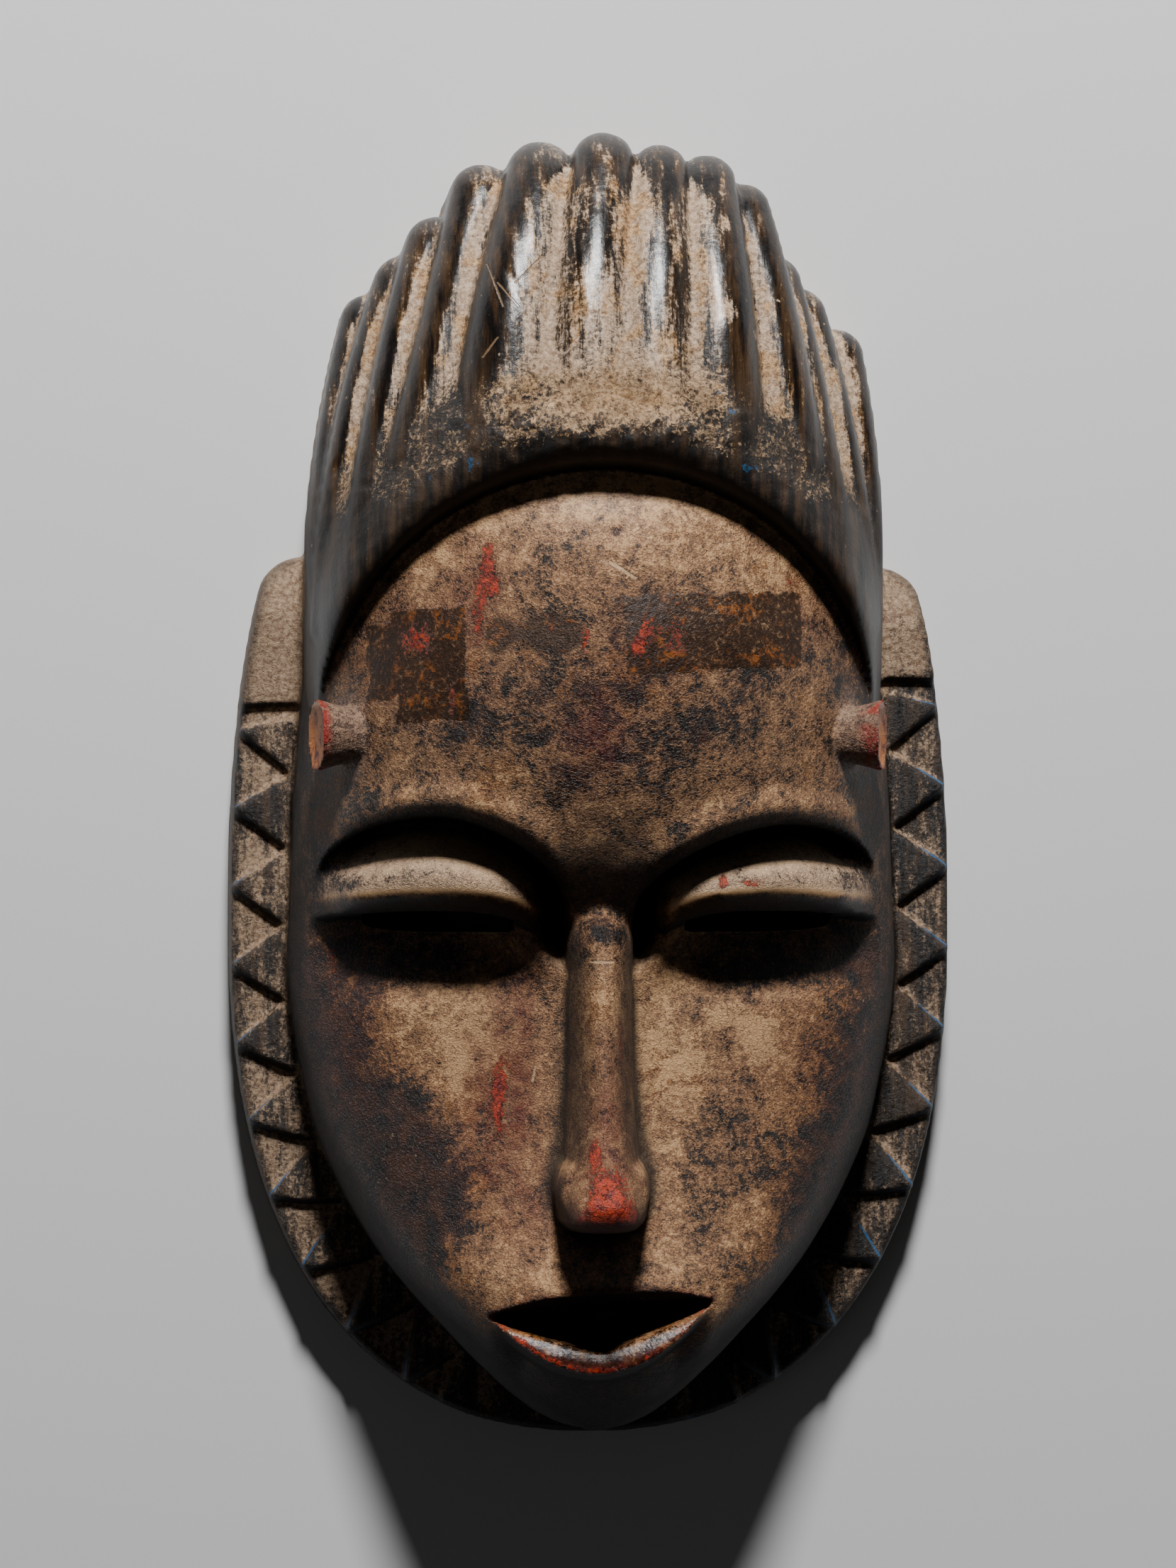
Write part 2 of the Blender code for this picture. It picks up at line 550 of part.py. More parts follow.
def hollow(shape):
    """Cutter for the space behind the face: rings that climb from the rim to a ceiling."""
    n = HOLLOW_SQUARENESS
    below = -2 * STOCK_BELOW
    rings = []
    for ring in range(HOLLOW_RINGS + 1):
        share = math.sin(0.5 * math.pi * (1 - ring / HOLLOW_RINGS))
        row = []
        for spoke in range(HOLLOW_SPOKES):
            turn = 2 * math.pi * spoke / HOLLOW_SPOKES
            c, s = math.cos(turn), math.sin(turn)
            reach_x = math.copysign(abs(c) ** (2 / n), c) * HOLLOW_HALF_WIDTH
            reach_y = math.copysign(abs(s) ** (2 / n), s) * HOLLOW_HALF_LENGTH
            x, y = share * reach_x, HOLLOW_CENTRE_Y + share * reach_y
            z = float(through(HOLLOW_CEILING, np.array(y)) * vault(share, HOLLOW_FULLNESS))
            row.append(shape.verts.new((x, y, z)))
            if ring == HOLLOW_RINGS:
                break
        rings.append(row)
    foot = [shape.verts.new((v.co.x, v.co.y, below)) for v in rings[0]]
    rings.insert(0, foot)
    shape.faces.new(reversed(foot))
    for low, high in zip(rings, rings[1:]):
        for spoke in range(HOLLOW_SPOKES):
            after = (spoke + 1) % HOLLOW_SPOKES
            if len(high) == 1:
                shape.faces.new((low[spoke], low[after], high[0]))
            else:
                shape.faces.new((low[spoke], low[after], high[after], high[spoke]))


def eye_slit(shape, side):
    """Cutter for the slit under one lid, a bar that follows the lid's edge."""
    corners = []
    for i in range(EYE_SLIT_STATIONS):
        share = i / (EYE_SLIT_STATIONS - 1)
        x = EYE_SLIT_INNER_X + share * (EYE_SLIT_OUTER_X - EYE_SLIT_INNER_X)
        top = float(lid_line(np.array(x))) - LID_RIM - EYE_SLIT_CLEAR
        gap = EYE_SLIT_END_GAP + (EYE_SLIT_GAP - EYE_SLIT_END_GAP) * math.sin(math.pi * share) ** 0.5
        corners.append((side * x, top, gap))
    low = 0.5 * min(height for _, height in HOLLOW_CEILING)
    high = max(height for _, height in HEAD_RIDGE)
    sections = []
    for x, top, gap in corners:
        section = [(x, top, low), (x, top - gap, low), (x, top - gap, high), (x, top, high)]
        sections.append([shape.verts.new(point) for point in section])
    for here, after in zip(sections, sections[1:]):
        for i in range(4):
            j = (i + 1) % 4
            shape.faces.new((here[i], here[j], after[j], after[i]))
    shape.faces.new(sections[0])
    shape.faces.new(reversed(sections[-1]))


def ground(shape):
    """Cutter for everything below the flat back rim."""
    bmesh.ops.create_cube(shape, size=1.0)
    depth = 4 * STOCK_BELOW
    size = Matrix.Diagonal((1.0, 1.0, depth, 1.0))
    bmesh.ops.transform(shape, matrix=Matrix.Translation((0, 0, -0.5 * depth)) @ size, verts=shape.verts)


def cutter(name, mesh_maker):
    made = new_object(name, mesh_maker)
    made.hide_render = True
    made.display_type = "WIRE"
    return made


def wood():
    material = bpy.data.materials.new("carved_wood")
    material.use_nodes = True
    shader = material.node_tree.nodes["Principled BSDF"]
    shader.inputs["Base Color"].default_value = WOOD_COLOUR
    shader.inputs["Roughness"].default_value = WOOD_ROUGHNESS
    return material


def build_mask():
    mask = new_object("mask", carved_front)
    fuse = mask.modifiers.new("fuse", "REMESH")
    fuse.mode = "VOXEL"
    fuse.voxel_size = FUSE_STEP
    soften = mask.modifiers.new("soften", "SMOOTH")
    soften.iterations = SOFTENING_PASSES
    facet = mask.modifiers.new("facet", "DECIMATE")
    facet.ratio = TRIANGLE_SHARE
    cutters = [
        cutter("ground", ground),
        cutter("hollow", hollow),
        cutter("left_eye_slit", lambda shape: eye_slit(shape, -1)),
        cutter("right_eye_slit", lambda shape: eye_slit(shape, +1)),
    ]
    for tool in cutters:
        cut = mask.modifiers.new(tool.name, "BOOLEAN")
        cut.operation = "DIFFERENCE"
        cut.object = tool
    mask.data.materials.append(wood())
    return mask


def centre_on_origin(mask):
    """Moves the mask and its cutters so that the middle of its plan is at the origin."""
    bpy.context.view_layer.update()
    graph = bpy.context.evaluated_depsgraph_get()
    corners = [Vector(c) for c in mask.evaluated_get(graph).bound_box]
    middle_x = 0.5 * (min(c.x for c in corners) + max(c.x for c in corners))
    middle_y = 0.5 * (min(c.y for c in corners) + max(c.y for c in corners))
    for made in bpy.context.scene.objects:
        made.location -= Vector((middle_x, middle_y, 0))


def main():
    for old in list(bpy.data.objects):
        bpy.data.objects.remove(old)
    mask = build_mask()
    centre_on_origin(mask)


if __name__ == "__main__":
    main()
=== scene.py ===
"""The carved mask of the photograph, in aged wood, lying face up on a pale floor.

The form functions are those of the part's source, read here at a finer step and with tool marks.
"""

import math
import bmesh
import bpy
import numpy as np
from mathutils import Matrix, Vector


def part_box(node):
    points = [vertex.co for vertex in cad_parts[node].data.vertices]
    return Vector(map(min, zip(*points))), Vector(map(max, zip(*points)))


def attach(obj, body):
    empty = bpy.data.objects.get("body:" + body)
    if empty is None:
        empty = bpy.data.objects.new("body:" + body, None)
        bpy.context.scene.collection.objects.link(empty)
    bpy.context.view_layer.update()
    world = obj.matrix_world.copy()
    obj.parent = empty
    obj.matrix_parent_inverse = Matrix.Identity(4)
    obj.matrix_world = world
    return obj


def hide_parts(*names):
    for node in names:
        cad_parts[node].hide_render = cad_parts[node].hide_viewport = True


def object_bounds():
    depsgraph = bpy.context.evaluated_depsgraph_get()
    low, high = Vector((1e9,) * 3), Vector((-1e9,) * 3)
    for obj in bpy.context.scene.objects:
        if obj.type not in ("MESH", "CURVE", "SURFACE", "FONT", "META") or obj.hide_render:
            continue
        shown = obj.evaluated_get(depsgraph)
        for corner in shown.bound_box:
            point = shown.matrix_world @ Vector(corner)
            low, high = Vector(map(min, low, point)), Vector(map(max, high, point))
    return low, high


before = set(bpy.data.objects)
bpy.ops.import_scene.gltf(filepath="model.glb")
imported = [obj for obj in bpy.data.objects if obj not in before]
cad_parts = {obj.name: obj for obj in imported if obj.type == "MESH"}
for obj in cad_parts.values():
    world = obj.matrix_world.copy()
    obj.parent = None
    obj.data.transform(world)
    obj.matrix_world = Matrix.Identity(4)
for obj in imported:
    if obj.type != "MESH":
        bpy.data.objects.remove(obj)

cad_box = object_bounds()

# Collar round the face, an oval plate with a row of raised triangles
COLLAR_HALF_WIDTH = 0.1009
COLLAR_CENTRE_Y = -0.0363
COLLAR_REACH_DOWN = 0.1432
COLLAR_REACH_UP = 0.188
COLLAR_SQUARENESS = 2.35
COLLAR_THICKNESS = 0.016
COLLAR_END_Y = 0.064
COLLAR_END_CORNER = 0.008
COLLAR_END_TILT = 0.015
COLLAR_END_SLOPE = 0.018
COLLAR_END_FALL = 0.007
COLLAR_EDGE_ROUND = 0.0017
TRIANGLE_RISE = 0.0026
TRIANGLE_BASE_GAP = 0.001
TRIANGLE_EDGE = 0.045
TRIANGLE_PITCH = {-1: 0.0219, +1: 0.0227}
FIRST_TRIANGLE_Y = {-1: 0.0169, +1: 0.024}
TRIANGLES_A_SIDE = 10
FIRST_TRIANGLE_UPPER = 0.27
PLAIN_END_INNER = 0.43
PLAIN_END_OUTER = 0.31

# Head: midline height, half width at its foot and how full its sections are, each at places down Y
HEAD_RIDGE = (
    (0.11, 0.08), (0.085, 0.095), (0.065, 0.101), (0.045, 0.103), (0.02, 0.101),
    (0.000, 0.096), (-0.018, 0.087), (-0.034, 0.075), (-0.048, 0.069), (-0.07, 0.068),
    (-0.095, 0.071), (-0.118, 0.077), (-0.134, 0.084), (-0.146, 0.084), (-0.156, 0.079),
    (-0.165, 0.069), (-0.1735, 0.053),
)
HEAD_HALF_WIDTH = (
    (0.11, 0.055), (0.085, 0.069), (0.06, 0.0765), (0.02, 0.0815), (-0.025, 0.084), (-0.056, 0.0845),
    (-0.08, 0.0805), (-0.094, 0.077), (-0.106, 0.072), (-0.12, 0.0645), (-0.131, 0.057),
    (-0.14, 0.0495), (-0.1475, 0.0425), (-0.1545, 0.036), (-0.16, 0.0305), (-0.168, 0.0215),
    (-0.172, 0.0155), (-0.174, 0.009), (-0.1748, 0.0),
)
HEAD_FULLNESS = ((0.11, 2.1), (0.000, 2.2), (-0.06, 2.5), (-0.12, 2.6), (-0.1735, 2.4))

# Hair: the arch that frames the forehead, the cap behind it and its half width down Y
ARCH_CENTRE_Y = 0.0127
ARCH_HALF_WIDTH = 0.0758
ARCH_RISE = 0.0725
ARCH_ROLL = 0.0075
HAIR_END_Y = 0.023
HAIR_END_STEEP = 7.0
HAIR_RIDGE = (
    (0.176, 0.03), (0.168, 0.047), (0.16, 0.06), (0.145, 0.077), (0.13, 0.09),
    (0.118, 0.0982), (0.108, 0.1045), (0.098, 0.108), (0.086, 0.1062), (0.06, 0.1), (0.01, 0.09),
)
HAIR_HALF_WIDTH = (
    (0.172, 0.0), (0.168, 0.012), (0.158, 0.026), (0.147, 0.037), (0.135, 0.047), (0.12, 0.058),
    (0.105, 0.0655), (0.09, 0.0715), (0.075, 0.0765), (0.06, 0.0793), (0.01, 0.08),
)
HAIR_FULLNESS = ((0.172, 2.3), (0.11, 2.4), (0.085, 2.7), (0.055, 3.3), (0.01, 3.4))

# Locks of hair, left to right: foot x, y, height and radius, tip x, y, height and radius, sideways bow
LOCKS = (
    (-0.0715, 0.044, 0.0460, 0.0078, -0.0620, 0.1302, 0.0330, 0.0082, -0.0030),
    (-0.0710, 0.044, 0.0600, 0.0075, -0.0520, 0.1385, 0.0480, 0.0092, -0.0035),
    (-0.0610, 0.062, 0.0790, 0.0080, -0.0437, 0.1482, 0.0610, 0.0086, -0.0020),
    (-0.0470, 0.088, 0.0890, 0.0112, -0.0315, 0.1615, 0.0700, 0.0086, +0.0005),
    (-0.0260, 0.094, 0.1040, 0.0150, -0.0158, 0.1668, 0.0770, 0.0090, -0.0015),
    (-0.0040, 0.094, 0.1060, 0.0138, +0.0010, 0.1697, 0.0790, 0.0082, -0.0015),
    (+0.0130, 0.094, 0.1060, 0.0124, +0.0162, 0.1674, 0.0770, 0.0074, -0.0008),
    (+0.0300, 0.094, 0.1030, 0.0130, +0.0292, 0.1650, 0.0740, 0.0076, +0.0002),
    (+0.0485, 0.088, 0.0880, 0.0112, +0.0390, 0.1577, 0.0680, 0.0078, +0.0008),
    (+0.0600, 0.062, 0.0800, 0.0080, +0.0480, 0.1390, 0.0590, 0.0080, +0.0010),
    (+0.0700, 0.046, 0.0600, 0.0080, +0.0555, 0.1305, 0.0470, 0.0090, +0.0020),
    (+0.0720, 0.044, 0.0450, 0.0078, +0.0680, 0.1215, 0.0320, 0.0080, +0.0020),
)
LOCK_FALL = 1.1
LOCK_DROP_CURVE = 2.2
LOCK_BLEND = 0.0016

# Eyes, each with its brow arch and the edge of its lowered lid, as distances from the midline
EYES = {
    -1: {"peak": (0.043, -0.0063), "inner": (0.0078, -0.032), "outer": (0.078, -0.029)},
    +1: {"peak": (0.05, -0.0084), "inner": (0.0082, -0.0325), "outer": (0.0775, -0.027)},
}
BROW_INNER_CURVE = 1.6
BROW_OUTER_CURVE = 2.1
BROW_RISE = 0.0028
BROW_WIDTH = 0.0042
BROW_EDGE = 0.0014
BROW_END_FADE = 0.012
LID_MIDDLE = 0.044
LID_Y = -0.0273
LID_INNER_DROP = 0.0072
LID_OUTER_DROP = 0.0022
LID_REACH = 0.03
LID_RISE = 0.0058
LID_FULL_X = 0.034
LID_CURVE = 1.15
LID_RIM = 0.0046
LID_RIM_FALL = 0.003
LID_INNER_X = 0.0125
LID_INNER_FADE = 0.0065
SOCKET_DEPTH = 0.0235
SOCKET_INNER_X = 0.007
SOCKET_INNER_WALL = 0.005
SOCKET_OUTER_X = 0.079
SOCKET_OUTER_WALL = 0.015
INNER_CORNER_DEPTH = 0.015
INNER_CORNER_LENGTH = 0.013
UNDER_LID_DEPTH = 0.015
UNDER_LID_LENGTH = 0.028
UNDER_LID_INNER_X = 0.013
UNDER_LID_EDGE = 0.0012
EYE_SLIT_CLEAR = 0.0004
EYE_SLIT_GAP = 0.006
EYE_SLIT_END_GAP = 0.0027
EYE_SLIT_INNER_X = 0.023
EYE_SLIT_OUTER_X = 0.064
EYE_SLIT_STATIONS = 25

# Nose
NOSE_RIDGE = (
    (-0.0315, 0.0772), (-0.035, 0.0832), (-0.045, 0.088), (-0.07, 0.094), (-0.095, 0.102),
    (-0.105, 0.106), (-0.111, 0.1065), (-0.1145, 0.103), (-0.1165, 0.095),
)
NOSE_HALF_WIDTH = (
    (-0.0315, 0.0065), (-0.035, 0.0088), (-0.05, 0.0096), (-0.072, 0.0101), (-0.092, 0.0105),
    (-0.0985, 0.0107), (-0.1035, 0.0116), (-0.109, 0.0121), (-0.114, 0.0117), (-0.1165, 0.0102),
)
NOSE_TOP_Y = -0.0315
NOSE_END_Y = -0.1165
NOSE_FULLNESS = ((-0.0315, 2.3), (-0.095, 2.3), (-0.109, 3.2), (-0.1165, 3.2))
NOSE_FOOT = 0.55
NOSE_FILLET = 0.0016
NOSTRIL = (0.0074, -0.1064, 0.0978, 0.0044)
NOSTRIL_STRETCH = 1.7
NOSTRIL_BLEND = 0.0024

# Mouth, an open crescent
MOUTH_Y = -0.1378
MOUTH_HALF_WIDTH = 0.0305
MOUTH_TILT = 0.064
UPPER_LIP_ARCH = 0.005
UPPER_LIP_BEVEL = 0.0038
UPPER_LIP_RISE = 0.002
UPPER_LIP_WIDTH = 0.006
UPPER_LIP_DROP = 0.006
LOWER_LIP_INNER = 0.0106
LOWER_LIP_INNER_CURVE = 1.15
LOWER_LIP_OUTER = 0.0174
LOWER_LIP_OUTER_CURVE = 1.9
LOWER_LIP_RISE = 0.003
LOWER_LIP_DISH = 0.006
LIP_EDGE = 0.0012
LIP_END_SHARE = 0.06
MOUTH_DEPTH = 0.024
CHIN_UNDERCUT = 0.007
CHIN_STEP = 0.0035
CHIN_LENGTH = 0.022
CHIN_END_SHARE = 0.35

# Ear pegs, flared stubs at the temples
PEG_X = 0.0765
PEG_Y = 0.015
PEG_Z = 0.07
PEG_TILT = math.radians(13.5)
PEG_LENGTH = 0.034
PEG_PROFILE = ((0.0, 0.0072), (0.55, 0.007), (0.76, 0.0076), (0.9, 0.0088), (1.0, 0.0099))
PEG_DISH = 0.0012
PEG_DISH_SHARE = 0.6
PEG_SIDES = 96

# Hollow behind the face
HOLLOW_CENTRE_Y = -0.003
HOLLOW_HALF_WIDTH = 0.071
HOLLOW_HALF_LENGTH = 0.159
HOLLOW_SQUARENESS = 2.3
HOLLOW_CEILING = (
    (0.156, 0.052), (0.11, 0.079), (0.07, 0.086), (0.04, 0.085), (0.015, 0.074),
    (-0.01, 0.058), (-0.03, 0.05), (-0.06, 0.051), (-0.11, 0.057), (-0.162, 0.054),
)
HOLLOW_FULLNESS = 2.5
HOLLOW_RINGS = 24
HOLLOW_SPOKES = 120

# Fineness of the carving, and how far the stock runs below the rim before it is sawn flat
GRID_STEP = 0.0008
FUSE_STEP = 0.00085
SOFTENING_PASSES = 1
FACETS = 190000
STOCK_BELOW = 0.006
STOCK_MARGIN = 0.006
STEEP = 14.0
SHEER = 30.0
FILLET = 0.0009

# Marks of the tools: gouge facets on the face, strands in the hair, grains of crust, gouging behind
FACET_DEPTH = 0.00022
STRAND_DEPTH = 0.00018
GRAIN_DEPTH = 0.00042
GOUGE_DEPTH = 0.0007
STRAND_SLANT = 0.12

# The lumps of noise in those marks: size in x and y, and seed; and how many random values are drawn
FACET_LUMPS = (0.0085, 0.0105, 3)
SMALL_FACET_LUMPS = (0.0036, 0.0042, 5)
STRAND_LUMPS = (0.0013, 0.03, 7)
GRAIN_LUMPS = (0.0021, 0.0017, 11)
GOUGE_LUMPS = (0.013, 0.021, 17)
LUMP_TABLE = (97, 89)

# Cuts and dents: middle x, y, half length, half breadth, turn and depth
CUTS = (
    (-0.0236, 0.1335, 0.0065, 0.00045, -1.05, 0.0007),
    (-0.0205, 0.13, 0.004, 0.0004, -0.62, 0.0006),
    (-0.0155, 0.14, 0.0062, 0.0005, 0.88, 0.0007),
    (-0.019, 0.1262, 0.0042, 0.0004, -0.95, 0.0005),
    (0.0025, 0.0598, 0.0042, 0.0007, -0.45, 0.0008),
    (0.0028, 0.068, 0.001, 0.001, 0.0, 0.0007),
    (0.019, 0.031, 0.0028, 0.00045, -0.4, 0.0006),
    (0.018, 0.0195, 0.0016, 0.0014, 0.5, 0.0006),
    (0.0032, -0.0455, 0.003, 0.00035, 0.04, 0.0005),
    (-0.0705, 0.0875, 0.0022, 0.0011, 1.1, 0.0011),
)

# Tape marks on the forehead: middle x, y, length, breadth and turn, and how soft and wavy their edges are
TAPE_MARKS = (
    (0.029, 0.042, 0.048, 0.02, 0.045),
    (-0.0459, 0.0333, 0.0188, 0.0295, 0.06),
    (-0.0585, 0.0345, 0.008, 0.02, 0.06),
)
TAPE_EDGE = 0.0003
TAPE_WOBBLE = 0.005

# Light scratches and nicks: middle x, y, length, breadth and turn, and their edges' share of the wobble
NICKS = (
    (-0.0289, 0.1332, 0.013, 0.0004, -1.25), (-0.02, 0.1373, 0.0107, 0.0004, 0.8),
    (-0.0256, 0.1304, 0.0089, 0.0004, -0.9), (-0.0303, 0.1163, 0.0067, 0.0004, 0.91),
    (0.0137, 0.1544, 0.005, 0.0005, -0.3), (0.0042, 0.058, 0.0087, 0.001, -0.56),
    (-0.0004, -0.0452, 0.0065, 0.0007, 0.0), (-0.0177, -0.0758, 0.0046, 0.0005, 1.4),
)
NICK_EDGE = 0.00012
NICK_WOBBLE = 0.22

# Soft spots of the tables below: strength, middle x, y and size in x and y
# Where the face is paler or darker than the rest; the two dark spots just under the lids, at y -0.047, are
# painted shadow
FACE_TONES = (
    (+0.09, 0.0, 0.078, 0.05, 0.018), (-0.19, 0.0, 0.024, 0.045, 0.022),
    (+0.02, 0.0, -0.015, 0.016, 0.022), (-0.3, 0.0, -0.0345, 0.01, 0.006),
    (+0.12, -0.046, -0.064, 0.022, 0.022), (-0.32, -0.045, -0.112, 0.011, 0.016),
    (+0.03, 0.05, -0.07, 0.02, 0.022), (+0.14, 0.019, -0.06, 0.007, 0.024),
    (-0.02, -0.046, -0.024, 0.028, 0.008), (-0.04, 0.05, -0.024, 0.026, 0.008),
    (-0.12, -0.03, -0.085, 0.009, 0.022), (-0.1, 0.03, -0.092, 0.016, 0.016),
    (-0.3, -0.06, -0.104, 0.016, 0.024), (-0.18, 0.062, -0.104, 0.014, 0.024),
    (-0.3, 0.0, -0.168, 0.05, 0.018), (-0.2, 0.0, -0.126, 0.013, 0.008),
    (-0.3, -0.046, -0.047, 0.024, 0.007), (-0.3, 0.048, -0.047, 0.024, 0.007),
    (-0.22, -0.052, -0.09, 0.01, 0.022), (+0.12, -0.036, -0.07, 0.012, 0.012),
    (-0.6, 0.0248, 0.0146, 0.0022, 0.0018), (-0.6, 0.0028, 0.068, 0.0012, 0.001),
    (+0.24, 0.031, -0.06, 0.0045, 0.003), (+0.24, 0.018, -0.0955, 0.005, 0.0022),
    (+0.2, 0.0435, -0.0685, 0.006, 0.0055),
)
# Worn red paint, as flecks and as a dark tint
RED_FLECKS = (
    (0.74, 0.000, -0.113, 0.0135, 0.006), (0.64, 0.001, -0.104, 0.0075, 0.01),
    (0.58, 0.0045, -0.066, 0.0018, 0.016), (0.58, -0.003, -0.094, 0.002, 0.006),
    (0.72, -0.0275, -0.0835, 0.0018, 0.011), (0.46, -0.0255, -0.075, 0.004, 0.018),
    (0.66, 0.0105, 0.043, 0.0036, 0.007), (0.62, 0.0075, 0.037, 0.0024, 0.004),
    (0.64, 0.019, 0.0395, 0.005, 0.008), (0.86, -0.0055, 0.0405, 0.0013, 0.007),
    (0.82, -0.0145, 0.044, 0.0013, 0.005), (0.72, -0.0305, 0.062, 0.0026, 0.0065),
    (0.66, -0.0335, 0.046, 0.0028, 0.012), (0.64, -0.029, 0.053, 0.003, 0.0045),
    (0.66, -0.049, 0.04, 0.0085, 0.008), (0.7, -0.04, 0.025, 0.0018, 0.008),
    (0.6, -0.029, 0.026, 0.0008, 0.007), (0.66, 0.0497, 0.056, 0.0012, 0.0045),
    (0.7, 0.04, -0.0245, 0.006, 0.0024), (0.8, 0.032, -0.024, 0.0016, 0.0034),
    (0.56, -0.072, -0.045, 0.0014, 0.012), (0.52, -0.065, -0.07, 0.0016, 0.006),
)
RED_TINTS = (
    (0.85, -0.029, -0.082, 0.01, 0.022), (0.5, -0.02, -0.11, 0.012, 0.014),
    (0.8, 0.001, -0.092, 0.008, 0.026), (0.8, -0.048, 0.038, 0.014, 0.014),
    (0.75, -0.003, 0.014, 0.009, 0.014), (0.6, 0.013, 0.04, 0.012, 0.01),
    (0.45, 0.053, 0.05, 0.007, 0.012), (0.35, 0.05, -0.07, 0.014, 0.012),
    (0.55, -0.033, 0.055, 0.008, 0.014), (0.3, -0.066, -0.055, 0.01, 0.025),
    (0.75, -0.0215, -0.072, 0.006, 0.026), (0.55, 0.0, -0.112, 0.015, 0.01),
)
# Dark stain of an old label's glue
STAINS = (
    (0.95, -0.014, 0.0415, 0.01, 0.007), (0.95, 0.014, 0.0345, 0.01, 0.006),
    (0.6, -0.029, 0.041, 0.005, 0.008),
)
# Lumps of dust and flecks of blue paint on the hair
HAIR_CLODS = (
    (0.5, 0.0404, 0.1203, 0.0018, 0.0018), (0.4, 0.0331, 0.1508, 0.0016, 0.002),
    (0.4, 0.0327, 0.1266, 0.003, 0.003), (0.4, 0.01, 0.15, 0.001, 0.0024),
)
HAIR_BLUES = (
    (0.72, 0.03, 0.1045, 0.0036, 0.0016), (0.7, 0.033, 0.0995, 0.004, 0.0026),
    (0.66, -0.0365, 0.0955, 0.003, 0.0026), (0.66, -0.035, 0.0855, 0.0034, 0.0055),
    (0.62, -0.046, 0.0825, 0.0034, 0.0034), (0.72, 0.0375, 0.085, 0.0065, 0.0024),
    (0.62, -0.058, 0.057, 0.003, 0.005),
)

# The finish: how dust lies, the net of fine cracks, and the wax
DUST_WEIGHT = 1.1
DUST_LEVEL = 1.85
NET_SCALE = 1000
NET_SWAY = 0.0009
WARP_SHARE = 0.8
WAX_IOR = 1.46
MARK_EDGE = 0.0006
SHARP_ANGLE = math.radians(50)

# How the marks read the relief: step of its grid, and the reaches it is smoothed over
RIDGE_STEP = 0.0007
RIDGE_REACHES = (0.0016, 0.005)

# View and light of the photograph
CAMERA_HEIGHT = 1.3
CAMERA_YAW = 0.047
CAMERA_AIM_Y = 0.0022
CAMERA_LENS = 70.1
CAMERA_SENSOR = 24.0
LIGHT_ELEVATION = math.radians(37)
LIGHT_X = 0.04
LIGHT_DISTANCE = 1.6
LIGHT_SIZE = 0.26
LIGHT_POWER = 58.0
FILL_PLACE = (-0.9, -0.6, 1.6)
FILL_SIZE = 1.6
FILL_POWER = 0.8
SKY = 0.022
FLOOR_GREY = 0.54
FLOOR_SIZE = 6
FLOOR_GAP = 0.0002


def through(stations, at):
    """A smooth curve through (place, value) stations, read at each place."""
    ordered = sorted(stations)
    place = np.array([s[0] for s in ordered])
    value = np.array([s[1] for s in ordered])
    slope = np.gradient(value, place)
    at = np.clip(at, place[0], place[-1])
    i = np.clip(np.searchsorted(place, at) - 1, 0, len(place) - 2)
    gap = place[i + 1] - place[i]
    t = (at - place[i]) / gap
    return (
        value[i] * (1 + 2 * t) * (1 - t) ** 2
        + slope[i] * gap * t * (1 - t) ** 2
        + value[i + 1] * t * t * (3 - 2 * t)
        - slope[i + 1] * gap * t * t * (1 - t)
    )


def ease(start, end, at):
    """0 before start, 1 after end, smooth between."""
    t = np.clip((at - start) / (end - start), 0.0, 1.0)
    return t * t * (3 - 2 * t)


def vault(share, fullness):
    """Height share of a rounded section, 1 at the middle and 0 at its foot."""
    return (1 - np.clip(share, 0.0, 1.0) ** fullness) ** (1 / fullness)


def soft_max(a, b, blend):
    """The higher of two surfaces, with a fillet where they meet."""
    return 0.5 * (a + b + np.sqrt((a - b) ** 2 + blend**2))


def oval(x, y):
    """Distance inside the collar's outline, and the outline's outward direction there."""
    y = y - COLLAR_CENTRE_Y
    reach = np.where(y < 0, COLLAR_REACH_DOWN, COLLAR_REACH_UP)
    u = np.maximum(abs(x), 1e-6) / COLLAR_HALF_WIDTH
    v = np.maximum(abs(y), 1e-6) / reach
    n = COLLAR_SQUARENESS
    share = (u**n + v**n) ** (1 / n)
    lean_x = np.sign(x) * (u / share) ** (n - 1) / COLLAR_HALF_WIDTH
    lean_y = np.sign(y) * (v / share) ** (n - 1) / reach
    slope = np.hypot(lean_x, lean_y)
    return (1 - share) / slope, lean_x / slope, lean_y / slope


def outline_run(x, y):
    """Run of the collar's outline from its lowest point to the place nearest x, y, and the outline's own."""
    inside, out_x, out_y = oval(x, y)
    x = abs(x + inside * out_x)
    y = y + inside * out_y
    angle = np.linspace(-0.5 * math.pi, 0.5 * math.pi, 721)
    reach = np.where(angle < 0, COLLAR_REACH_DOWN, COLLAR_REACH_UP)
    power = 2 / COLLAR_SQUARENESS
    px = COLLAR_HALF_WIDTH * np.cos(angle).clip(0) ** power
    py = COLLAR_CENTRE_Y + reach * np.sign(angle) * abs(np.sin(angle)) ** power
    run = np.concatenate([[0], np.cumsum(np.hypot(np.diff(px), np.diff(py)))])
    here = np.interp(np.arctan2(y - COLLAR_CENTRE_Y, x), np.arctan2(py - COLLAR_CENTRE_Y, px), run)
    return here, py, run


def head_width(y):
    return np.maximum(through(HEAD_HALF_WIDTH, y), 0.0)


def head(x, y):
    """The plain head, without hair or features."""
    width = np.maximum(head_width(y), 1e-5)
    rise = through(HEAD_RIDGE, y) - COLLAR_THICKNESS
    return COLLAR_THICKNESS + rise * vault(abs(x) / width, through(HEAD_FULLNESS, y))


